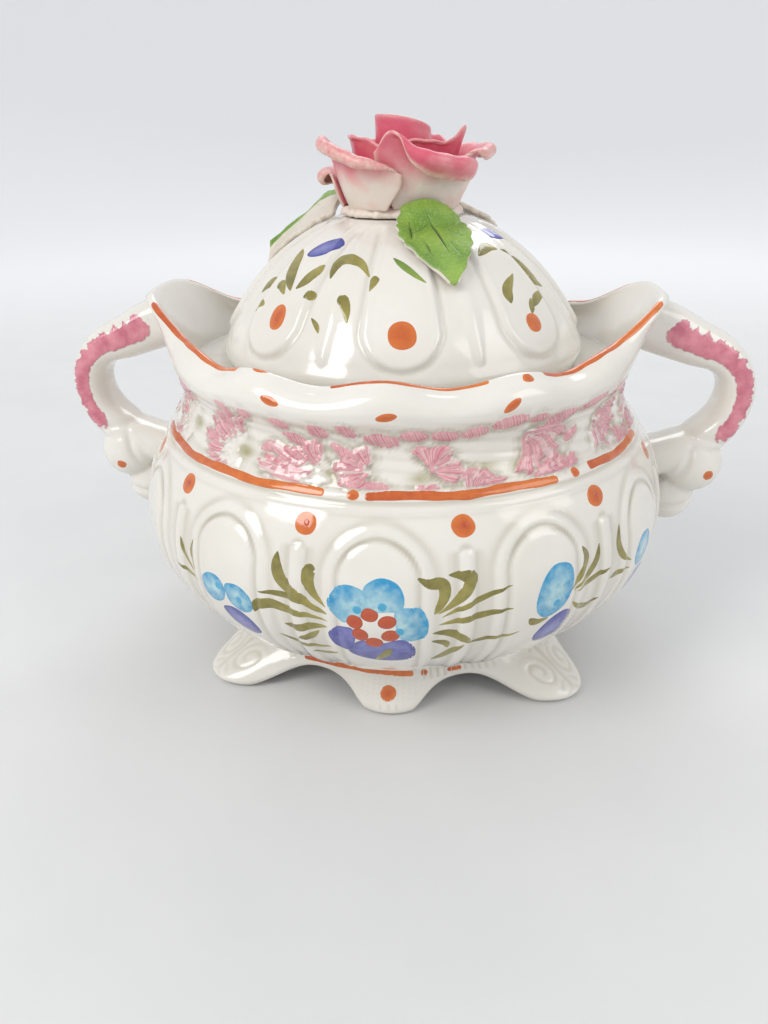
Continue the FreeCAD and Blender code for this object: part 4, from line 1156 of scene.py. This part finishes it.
# The painting on the lid: an orange dot at the foot of each tongue, and on each side a sprig of violet berries
# with olive leaves, in the same brushed majolica colours as the bowl.
SPRIGS = (
    (4.6, 0.35, ((-39.0, 162.2), (-44.8, 167.4), (-48.2, 171.8), (-51.0, 174.4))),
    (4.2, 0.5, ((-37.2, 163.0), (-33.2, 167.2), (-29.5, 171.0))),
    (4.4, 0.4, ((-24.5, 167.4), (-24.8, 171.0), (-23.0, 173.0), (-17.5, 173.0), (-12.8, 172.0), (-8.2, 168.6))),
    (2.8, 0.3, ((-5.8, 168.6), (-6.2, 166.8), (-7.2, 164.0))),
    (3.8, 0.5, ((-58.2, 159.6), (-56.0, 163.6), (-51.2, 164.8))),
    (3.2, 0.5, ((-47.0, 162.0), (-46.2, 163.6), (-41.0, 160.8))),
    (3.0, 0.5, ((-54.8, 153.8), (-52.2, 156.4), (-49.0, 156.6))),
    (3.2, 0.5, ((-31.8, 161.0), (-29.2, 162.0), (-26.8, 161.6))),
    (3.4, 0.35, ((-17.2, 160.0), (-16.2, 161.6), (-14.2, 158.8), (-13.0, 154.8))),
    (1.6, 0.5, ((-26.0, 155.8), (-23.0, 153.4), (-21.5, 151.2))),
    (3.8, 0.35, ((42.5, 158.4), (44.2, 162.8), (52.0, 167.0))),
    (3.0, 0.5, ((59.2, 165.8), (63.8, 163.6), (67.2, 161.0))),
    (2.4, 0.5, ((49.8, 154.2), (51.6, 156.6), (53.2, 159.0))),
    (3.2, 0.5, ((52.2, 156.2), (56.5, 158.4), (63.0, 159.8))),
    (3.8, 0.5, ((39.5, 173.0), (49.0, 175.2), (55.2, 174.2))),
    (3.4, 0.4, ((56.8, 174.2), (63.2, 170.6), (65.2, 165.4), (65.8, 161.0))),
)
LEAF_TOUCH = ((0.2, 173.8), (5.8, 170.8), (13.2, 166.4))
BERRIES = ((-36.4, 175.6, 15.5, 8.6, 38.0), (70.0, 178.4, 14.0, 7.0, -36.0))
GREEN = enamel("green_enamel", (0.10, 0.20, 0.02, 1.0), (0.24, 0.34, 0.05, 1.0), (0.12, 0.20, 0.03, 1.0))
lid_orange, lid_violet, lid_olive, lid_green = [new_batch() for _ in range(4)]
for half in (0.0, 180.0):
    for width, fat, places in SPRIGS:
        stroke(lid_olive, lid_skin, [(a + half, z) for a, z in places], 1.4 * width, fat)
    for azimuth, height, across, up, lean in BERRIES:
        dot(lid_violet, lid_skin, azimuth + half, height, across, up, lean)
    stroke(lid_green, lid_skin, [(a + half, z) for a, z in LEAF_TOUCH], 3.2)
    dot(lid_orange, lid_skin, 4.2 + half, 151.6, 11.4, 11.2)
    dot(lid_orange, lid_skin, -39.0 + half, 154.0, 8.6, 11.0, 14.0)
    dot(lid_orange, lid_skin, 48.8 + half, 151.6, 8.6, 8.0)
    dot(lid_orange, lid_skin, 94.0 + half, 152.0, 9.0, 9.0)
for name, batch, colour in (("orange_lid_dots", lid_orange, ORANGE), ("violet_berries", lid_violet, VIOLET),
                            ("olive_sprigs", lid_olive, OLIVE), ("green_touch", lid_green, GREEN)):
    painted(name, batch, colour, "lid")

# The rose: rolled and folded by hand out of thin sheets of clay, a bud, a coil round it and two rings of petals
# pressed on to a ragged pad, and brushed with pink that fades to bare white at the roots.
ROSE_Z = 187.2
PAD_R = 25.0
PAD_Z = 183.8
PETAL_TWIST = 1.5
PETAL_ROOT_T = 2.2
PETAL_LIP_T = 1.2
# Azimuth, half width, height, slant of the lip, outward curl and ruffle
INNER_PETALS = ((-78.0, 74.0, 26.5, 0.0, 1.2, 0.3), (42.0, 74.0, 24.6, -0.08, 1.6, 0.3), (162.0, 74.0, 27.0, 0.05, 1.2, 0.3))
OUTER_PETALS = ((-42.0, 46.0, 24.2, -0.32, 5.5, 0.5), (28.0, 46.0, 22.0, -0.14, 7.5, 0.5), (102.0, 46.0, 24.6, 0.08, 7.0, 1.2),
                (176.0, 46.0, 23.0, -0.1, 4.5, 0.8), (252.0, 36.0, 15.5, 0.0, 6.0, 0.8))
# How the lip rolls over: where along it, how wide, how much, radius, turn in degrees and length of the flap left over
INNER_ROLLS = ((0.0, 0.5, 0.4, 1.2, 200.0, 0.0), (-0.3, 0.5, 0.5, 1.2, 200.0, 0.0), (0.0, 0.5, 0.4, 1.2, 200.0, 0.0))
OUTER_ROLLS = ((-0.15, 0.95, 1.0, 1.7, 235.0, 0.0), (0.22, 0.68, 1.0, 2.3, 160.0, 5.2), (0.15, 0.8, 1.0, 2.0, 235.0, 0.0),
               (0.0, 0.7, 0.6, 1.5, 220.0, 0.0), (0.0, 0.8, 1.0, 2.6, 220.0, 0.0))
# Pointed folds that stand up from a lip: where along it, how wide, how tall and how far out
NO_FOLD = (0.0, 1.0, 0.0, 0.0)
INNER_FOLDS = (NO_FOLD, (0.60, 0.20, 6.6, 3.0), NO_FOLD)
OUTER_FOLDS = (NO_FOLD, (-0.62, 0.26, 6.5, -2.0), NO_FOLD, NO_FOLD, NO_FOLD)


def thin_sheet(name, point, thick, across, along, marks):
    """Closed sheet of clay on both sides of point(u, v), its free edges rounded off."""
    t = np.linspace(-1.0, 1.0, across)
    u = np.sign(t) * (1.0 - (1.0 - np.abs(t)) ** 1.5)
    v = 1.0 - (1.0 - np.linspace(0.0, 1.0, along)) ** 1.4
    u, v = np.meshgrid(u, v)
    here = point(u, v)
    step = 0.004
    across_flow = point(np.minimum(u + step, 1.0), v) - point(np.maximum(u - step, -1.0), v)
    along_flow = point(u, np.minimum(v + step, 1.0)) - point(u, np.maximum(v - step, 0.0))
    normal = np.cross(across_flow, along_flow)
    normal /= np.linalg.norm(normal, axis=-1, keepdims=True)
    gap_u = np.linalg.norm(across_flow, axis=-1) / (2.0 * step) * (1.0 - np.abs(u))
    gap_v = np.linalg.norm(along_flow, axis=-1) / (2.0 * step) * (1.0 - v)
    near = np.clip(1.0 - np.minimum(gap_u, gap_v) / 0.9, 0.0, 1.0)
    half = 0.5 * thick(u, v) * np.sqrt(np.clip(1.0 - near ** 2, 0.004, 1.0))
    sides = [here + normal * half[..., None], here - normal * half[..., None]]
    points = np.vstack([side.reshape(-1, 3) for side in sides])
    outer = np.arange(along * across).reshape(along, across)
    inner = outer + along * across
    faces = []
    for sheet in (outer, inner[:, ::-1]):
        quads = np.stack([sheet[:-1, :-1], sheet[:-1, 1:], sheet[1:, 1:], sheet[1:, :-1]], axis=-1)
        faces += quads.reshape(-1, 4).tolist()
    for a, b in ((outer[0], inner[0]), (outer[-1][::-1], inner[-1][::-1]),
                 (outer[:, -1], inner[:, -1]), (outer[::-1, 0], inner[::-1, 0])):
        faces += np.stack([a[1:], a[:-1], b[:-1], b[1:]], axis=1).tolist()
    mesh = bpy.data.meshes.new(name)
    mesh.from_pydata((points * MM).tolist(), [], faces)
    for key, mark in marks.items():
        value = np.concatenate([mark(u, v, points[:u.size].reshape(u.shape + (3,)), inward).ravel()
                                for inward in (0.0, 1.0)])
        mesh.attributes.new(key, "FLOAT", "POINT").data.foreach_set("value", value.astype(np.float32))
    mesh.shade_smooth()
    return mesh


def petal_sheet(data, roll, fold, root, lip, high):
    """Cupped petal that wraps the axis and opens at its lip, where part of the edge rolls over outward."""
    azimuth, half, tall, slant, curl, ruffle = data
    roll_at, roll_wide, roll_far, roll_r, roll_turn, flap = roll
    fold_at, fold_wide, fold_up, fold_out = fold

    def cup(u, v):
        width = 0.72 + 0.28 * np.sin(np.minimum(v, 0.7) / 0.7 * 0.5 * math.pi)
        opened = np.maximum(v - 0.6, 0.0) / 0.4
        open_out = curl * opened ** 2 * (1.0 - u * u) ** 2
        point_up = np.exp(-((u - fold_at) / fold_wide) ** 2) * v ** 2
        torn = 1.0 + v ** 3 * (0.016 * np.sin(9.0 * u + azimuth) + 0.010 * np.sin(21.0 * u + 2.0 * azimuth) - 0.022)
        rise = tall * v * (1.0 + slant * u) * (1.0 - 0.26 * u * u * v) * torn + fold_up * point_up
        radius = root + (lip - root) * (rise / high) ** 0.8 + PETAL_TWIST * u + open_out
        radius = radius + ruffle * np.sin(4.0 * u) * opened * (1.0 - u * u) + fold_out * point_up
        radius = radius + 0.3 * v * np.sin(13.0 * u + azimuth) * (1.0 - u * u)
        return round_axis(radius, azimuth + half * u * width, ROSE_Z + rise - 0.3 * open_out)

    def point(u, v):
        start = 0.88
        plain = cup(u, v)
        base = cup(u, np.minimum(v, start))
        flow = cup(u, np.full_like(u, start)) - cup(u, np.full_like(u, start - 0.01))
        flow /= np.linalg.norm(flow, axis=-1, keepdims=True)
        sideways = cup(np.minimum(u + 0.01, 1.0), np.full_like(u, start)) - cup(u - 0.01, np.full_like(u, start))
        out = np.cross(sideways, flow)
        out /= np.linalg.norm(out, axis=-1, keepdims=True)
        last = math.radians(roll_turn)
        way = np.maximum(v - start, 0.0) / (1.0 - start) * (roll_r * last + flap)
        turn = np.minimum(way / roll_r, last)
        left = way - roll_r * turn
        ahead = roll_r * np.sin(turn) + left * math.cos(last)
        aside = roll_r * (1.0 - np.cos(turn)) + left * math.sin(last)
        curled = base + ahead[..., None] * flow + aside[..., None] * out
        share = (roll_far * np.exp(-((u - roll_at) / roll_wide) ** 4) * (1.0 - u ** 8))[..., None]
        return plain + share * (curled - plain)

    return point


def petal_thick(u, v):
    return PETAL_ROOT_T + (PETAL_LIP_T - PETAL_ROOT_T) * v


def blush(low, high, inner, fade=0.0):
    """Pink that grows from the root to the lip, deeper on the inside, and fades toward one side."""
    def mark(u, v, places, inward):
        outside = smooth(low, high, places[..., 2] - ROSE_Z) * (1.0 - fade * smooth(-0.1, 0.7, u))
        return np.maximum(outside * (1.0 - 0.3 * np.abs(u) ** 3), inward * inner)
    return mark


def worn(share, start):
    """Bare dusty lip where the brush has missed the edge."""
    def mark(u, v, places, inward):
        return share * np.maximum(smooth(start, 0.99, v), smooth(0.88, 0.99, np.abs(u)) * (1.0 - inward))
    return mark


def rose_clay():
    material, tree, surface = shader("rose_clay")
    place = add(tree, "ShaderNodeTexCoord").outputs["Object"]
    soft = noise(tree, place, 130.0, 4.0)
    rose = add(tree, "ShaderNodeAttribute", attribute_name="blush").outputs["Fac"]
    uneven = add(tree, "ShaderNodeMath", {0: rose, 1: spread(tree, soft, 0.3, 0.7, -0.16, 0.16)}, operation="ADD")
    pale = mixed(tree, spread(tree, uneven.outputs["Value"], 0.02, 0.55), (0.74, 0.645, 0.56, 1.0), (0.76, 0.33, 0.33, 1.0))
    pink = mixed(tree, spread(tree, uneven.outputs["Value"], 0.5, 1.0), pale, (0.66, 0.10, 0.16, 1.0))
    bare = add(tree, "ShaderNodeAttribute", attribute_name="bare").outputs["Fac"]
    missed = add(tree, "ShaderNodeMath", {0: bare, 1: spread(tree, noise(tree, place, 480.0, 3.0), 0.3, 0.7, 0.35, 1.25)},
                 operation="MULTIPLY")
    dusty = mixed(tree, soft, (0.70, 0.46, 0.35, 1.0), (0.78, 0.62, 0.53, 1.0))
    tree.links.new(mixed(tree, spread(tree, missed.outputs["Value"], 0.0, 1.0), pink, dusty), surface.inputs["Base Color"])
    tree.links.new(spread(tree, soft, 0.3, 0.7, 0.3, 0.48), surface.inputs["Roughness"])
    surface.inputs["Coat Weight"].default_value = 0.2
    surface.inputs["Coat Roughness"].default_value = 0.15
    grain = add(tree, "ShaderNodeBump", {"Height": noise(tree, place, 700.0, 5.0), "Strength": 0.25, "Distance": 0.0006})
    folds = add(tree, "ShaderNodeBump", {
        "Height": noise(tree, place, 120.0, 3.0), "Strength": 0.25, "Distance": 0.002, "Normal": grain.outputs["Normal"]})
    tree.links.new(folds.outputs["Normal"], surface.inputs["Normal"])
    return material


rose_clay = rose_clay()
turn = np.arange(0.0, 360.0, 1.5)
ragged = 0.55 * np.sin(np.radians(7.0 * turn)) + 0.5 * np.sin(np.radians(17.0 * turn + 40.0)) + 0.3 * np.sin(np.radians(31.0 * turn))
pad_rows = []
for radius, height in ((14.0, PAD_Z + 0.1), (23.0, PAD_Z + 0.1), (23.5, PAD_Z + 0.6), (23.5, PAD_Z + 1.3), (22.9, PAD_Z + 2.3),
                       (21.8, PAD_Z + 3.1), (20.0, ROSE_Z - 0.1), (10.0, ROSE_Z - 0.1)):
    lumpy = 0.2 * np.sin(np.radians(11.0 * turn + 60.0 * radius))
    share = smooth(14.0, 23.0, np.array(radius))
    pad_rows.append(round_axis(radius + share * (ragged + lumpy - 0.1), turn, np.full(len(turn), height)))
pad_marks = {"blush": [np.zeros(len(turn)) for _ in pad_rows], "bare": [np.zeros(len(turn)) for _ in pad_rows]}
piece("rose_pad_skin", skin_mesh("rose_pad_skin", pad_rows, pad_marks), rose_clay, "lid", "rose_pink", "rose_pad")
bud_line = curve(((0.85, 0.0), (1.0, 0.35), (0.8, 0.75), (0.3, 1.0)), 40)
bud_rows = []
for wide, tall in bud_line:
    groove = 0.35 * np.cos(np.radians(3.0 * turn + 200.0 * tall))
    bud_rows.append(round_axis(6.6 * wide - 0.45 + groove * min(wide, 0.8), turn, np.full(len(turn), ROSE_Z + 0.1 + 26.6 * tall)))
bud_marks = {"blush": [np.full(len(turn), 1.0) for _ in bud_rows], "bare": [np.zeros(len(turn)) for _ in bud_rows]}
piece("rose_bud_skin", skin_mesh("rose_bud_skin", bud_rows, bud_marks), rose_clay, "lid", "rose_pink", "rose_bud")


def coil_sheet(u, v):
    radius = 10.2 - v + PETAL_TWIST * u + 0.7 * v ** 3 * np.sin(6.0 * u) + 0.9 * v ** 6 * np.exp(-((u + 0.05) / 0.3) ** 2)
    height = 31.3 * v * (0.93 + 0.07 * np.cos(2.0 * u) - 0.05 * v * smooth(0.25, 1.0, np.abs(u))) + 0.05
    return round_axis(radius, -70.0 + 182.0 * u, ROSE_Z + height)


coil_mesh = thin_sheet("rose_coil_skin", coil_sheet, petal_thick, 150, 36, {"blush": blush(2.0, 24.0, 1.0), "bare": worn(0.25, 0.93)})
piece("rose_coil_skin", coil_mesh, rose_clay, "lid", "rose_pink", "rose_coil")
for ring, petals, rolls, folds, root, lip, high in (("inner", INNER_PETALS, INNER_ROLLS, INNER_FOLDS, 15.6, 19.0, 26.0),
                                                    ("outer", OUTER_PETALS, OUTER_ROLLS, OUTER_FOLDS, 21.0, 29.5, 23.0)):
    for number, (data, roll, fold) in enumerate(zip(petals, rolls, folds), 1):
        name = "rose_%s_%d" % (ring, number)
        marks = {"blush": blush(4.0, 18.0, 0.85), "bare": worn(0.4, 0.9)}
        if ring == "outer":
            marks = {"blush": blush(4.0, 20.0, 0.8, 0.6 if number == 2 else 0.2),
                     "bare": worn(0.85, 0.96 if number == 2 else 0.8)}
        mesh = thin_sheet(name + "_skin", petal_sheet(data, roll, fold, root, lip, high), petal_thick, 110, 72, marks)
        piece(name + "_skin", mesh, rose_clay, "lid", "rose_pink", name)

# The leaves: three blades cut from rolled clay and laid on the lid under the rose, their veins slashed with a
# knife and their edges crinkled, brushed with green on top and left bare cream below.
LEAF_ROOT_R = 26.5
LEAF_TIP_R = 58.0
LEAF_HALF = 18.0
LEAF_T = 2.2
# Each slash: share across and along the blade where it starts and ends, and its half width in millimetres
SLASHES = ((-0.06, 0.14, 0.16, 0.66, 0.95), (-0.62, 0.24, -0.72, 0.52, 0.9), (-0.38, 0.50, -0.46, 0.70, 0.8),
           (0.34, 0.30, 0.66, 0.48, 0.5), (0.30, 0.54, 0.56, 0.70, 0.5), (-0.20, 0.26, -0.52, 0.38, 0.4))


def leaf_half(v):
    return LEAF_HALF * (0.35 + 0.65 * np.sin(math.pi * np.minimum(1.35 * v + 0.12, 1.0) * 0.5)) * (1.0 - 0.9 * v ** 2.2)


def slashed(u, v):
    """How deep the knife went, from 0 to 1."""
    deep = np.zeros_like(u)
    x, y = u * leaf_half(v), v * (LEAF_TIP_R - LEAF_ROOT_R)
    for from_u, from_v, to_u, to_v, wide in SLASHES:
        start = np.array([from_u * leaf_half(np.array(from_v)), from_v * (LEAF_TIP_R - LEAF_ROOT_R)])
        end = np.array([to_u * leaf_half(np.array(to_v)), to_v * (LEAF_TIP_R - LEAF_ROOT_R)])
        line = end - start
        share = np.clip(((x - start[0]) * line[0] + (y - start[1]) * line[1]) / (line @ line), 0.0, 1.0)
        away = np.hypot(x - start[0] - share * line[0], y - start[1] - share * line[1])
        deep = np.maximum(deep, np.exp(-((away / (wide * (0.35 + 0.65 * np.sin(math.pi * share)))) ** 2)))
    return deep


def leaf_sheet(azimuth, lift, root_up, near):
    """Blade that follows the dome; a side leaf leans down toward the front and stands up at its far edge."""
    def point(u, v):
        bent = u * u
        held = 1.0 - 0.5 * u * u
        settled, tip = 0.0, 0.5
        if near:
            bent = 0.45 * (1.0 - near * u) ** 2
            held = 0.55 - 0.45 * near * u
            settled, tip = (0.7 * (1.0 + u), 0.1) if near > 0.0 else (0.0, 0.85)
        radius = LEAF_ROOT_R + (LEAF_TIP_R - 0.4 - LEAF_ROOT_R) * v
        toothed = 1.0 - 0.035 * np.abs(u) ** 6 * (1.0 + np.sin(46.0 * v + 3.0 * np.sign(u)))
        side = (leaf_half(v) - 0.2) * u * toothed
        rise = 1.4 - settled + lift * (0.6 * bent + tip * v * v) * np.minimum(1.0, 3.0 * v)
        rise = rise + 0.25 * np.abs(u) ** 3 * np.sin(21.0 * v + 2.0 * np.sign(u) + azimuth) - 0.55 * slashed(u, v)
        rise = rise + root_up * (1.0 - smooth(0.0, 0.28 if lift < 3.0 else 0.75, v)) * held
        dome = np.interp(-radius, -dome_line[150:, 0], dome_line[150:, 1])
        return round_axis(radius, azimuth + np.degrees(side / radius), dome + rise * 1.1)
    return point


def leaf_clay():
    """Green brushed over speckled clay, with painted shade dark in the cuts, and bare cream below and along the edge.
    """
    material, tree, surface = shader("leaf_clay")
    place = add(tree, "ShaderNodeTexCoord").outputs["Object"]
    broad = noise(tree, place, 90.0, 3.0)
    speck = noise(tree, place, 1300.0, 3.0)
    green = mixed(tree, spread(tree, broad, 0.35, 0.65), (0.13, 0.27, 0.03, 1.0), (0.26, 0.42, 0.06, 1.0))
    flecked = mixed(tree, spread(tree, speck, 0.5, 0.72, 0.0, 0.45), green, (0.42, 0.54, 0.16, 1.0))
    # Painted shade: the knife cuts are coloured near black green, where shade falls in them.
    cut = add(tree, "ShaderNodeAttribute", attribute_name="cut").outputs["Fac"]
    cut_shade = mixed(tree, spread(tree, cut, 0.25, 0.8, 0.0, 0.95), flecked, (0.025, 0.05, 0.01, 1.0))
    bare = add(tree, "ShaderNodeAttribute", attribute_name="bare").outputs["Fac"]
    loose = add(tree, "ShaderNodeMath", {0: bare, 1: spread(tree, broad, 0.3, 0.7, -0.25, 0.25)}, operation="ADD")
    cover = spread(tree, loose.outputs["Value"], 0.4, 0.65)
    tree.links.new(mixed(tree, cover, cut_shade, (0.70, 0.63, 0.53, 1.0)), surface.inputs["Base Color"])
    tree.links.new(spread(tree, broad, 0.3, 0.7, 0.28, 0.45), surface.inputs["Roughness"])
    surface.inputs["Coat Weight"].default_value = 0.25
    surface.inputs["Coat Roughness"].default_value = 0.15
    rough = add(tree, "ShaderNodeBump", {"Height": speck, "Strength": 0.35, "Distance": 0.0006})
    lumps = add(tree, "ShaderNodeBump", {
        "Height": noise(tree, place, 210.0, 3.0), "Strength": 0.4, "Distance": 0.0015, "Normal": rough.outputs["Normal"]})
    tree.links.new(lumps.outputs["Normal"], surface.inputs["Normal"])
    return material


def under_or_edge(u, v, places, inward):
    edge = np.maximum(smooth(0.90, 1.0, -u) * smooth(0.45, 0.7, v), smooth(0.96, 1.0, np.abs(u)))
    return np.maximum(1.0 - inward, 0.75 * edge)


# The 'cut' mark is painted shade for the knife cuts on the green top.
def knife(u, v, places, inward):
    return slashed(u, v) * inward


leaf_clay = leaf_clay()
for name, azimuth, lift, root_up, cream in (("leaf_front", 22.0, 1.6, 4.5, 0.0), ("leaf_left", -100.0, 6.0, 5.0, 1.0),
                                            ("leaf_right", 140.0, 6.0, 5.0, -1.0)):
    def bare(u, v, places, inward, cream=cream):
        near_side = smooth(-0.75, -0.45, cream * u) if cream else 0.0
        return np.maximum(under_or_edge(u, v, places, inward), near_side)

    mesh = thin_sheet(name + "_skin", leaf_sheet(azimuth, lift, root_up, cream), lambda u, v: LEAF_T - 0.8 * v - 0.1, 96, 96,
                      {"bare": bare, "cut": knife})
    piece(name + "_skin", mesh, leaf_clay, "lid", "leaf_green", name)
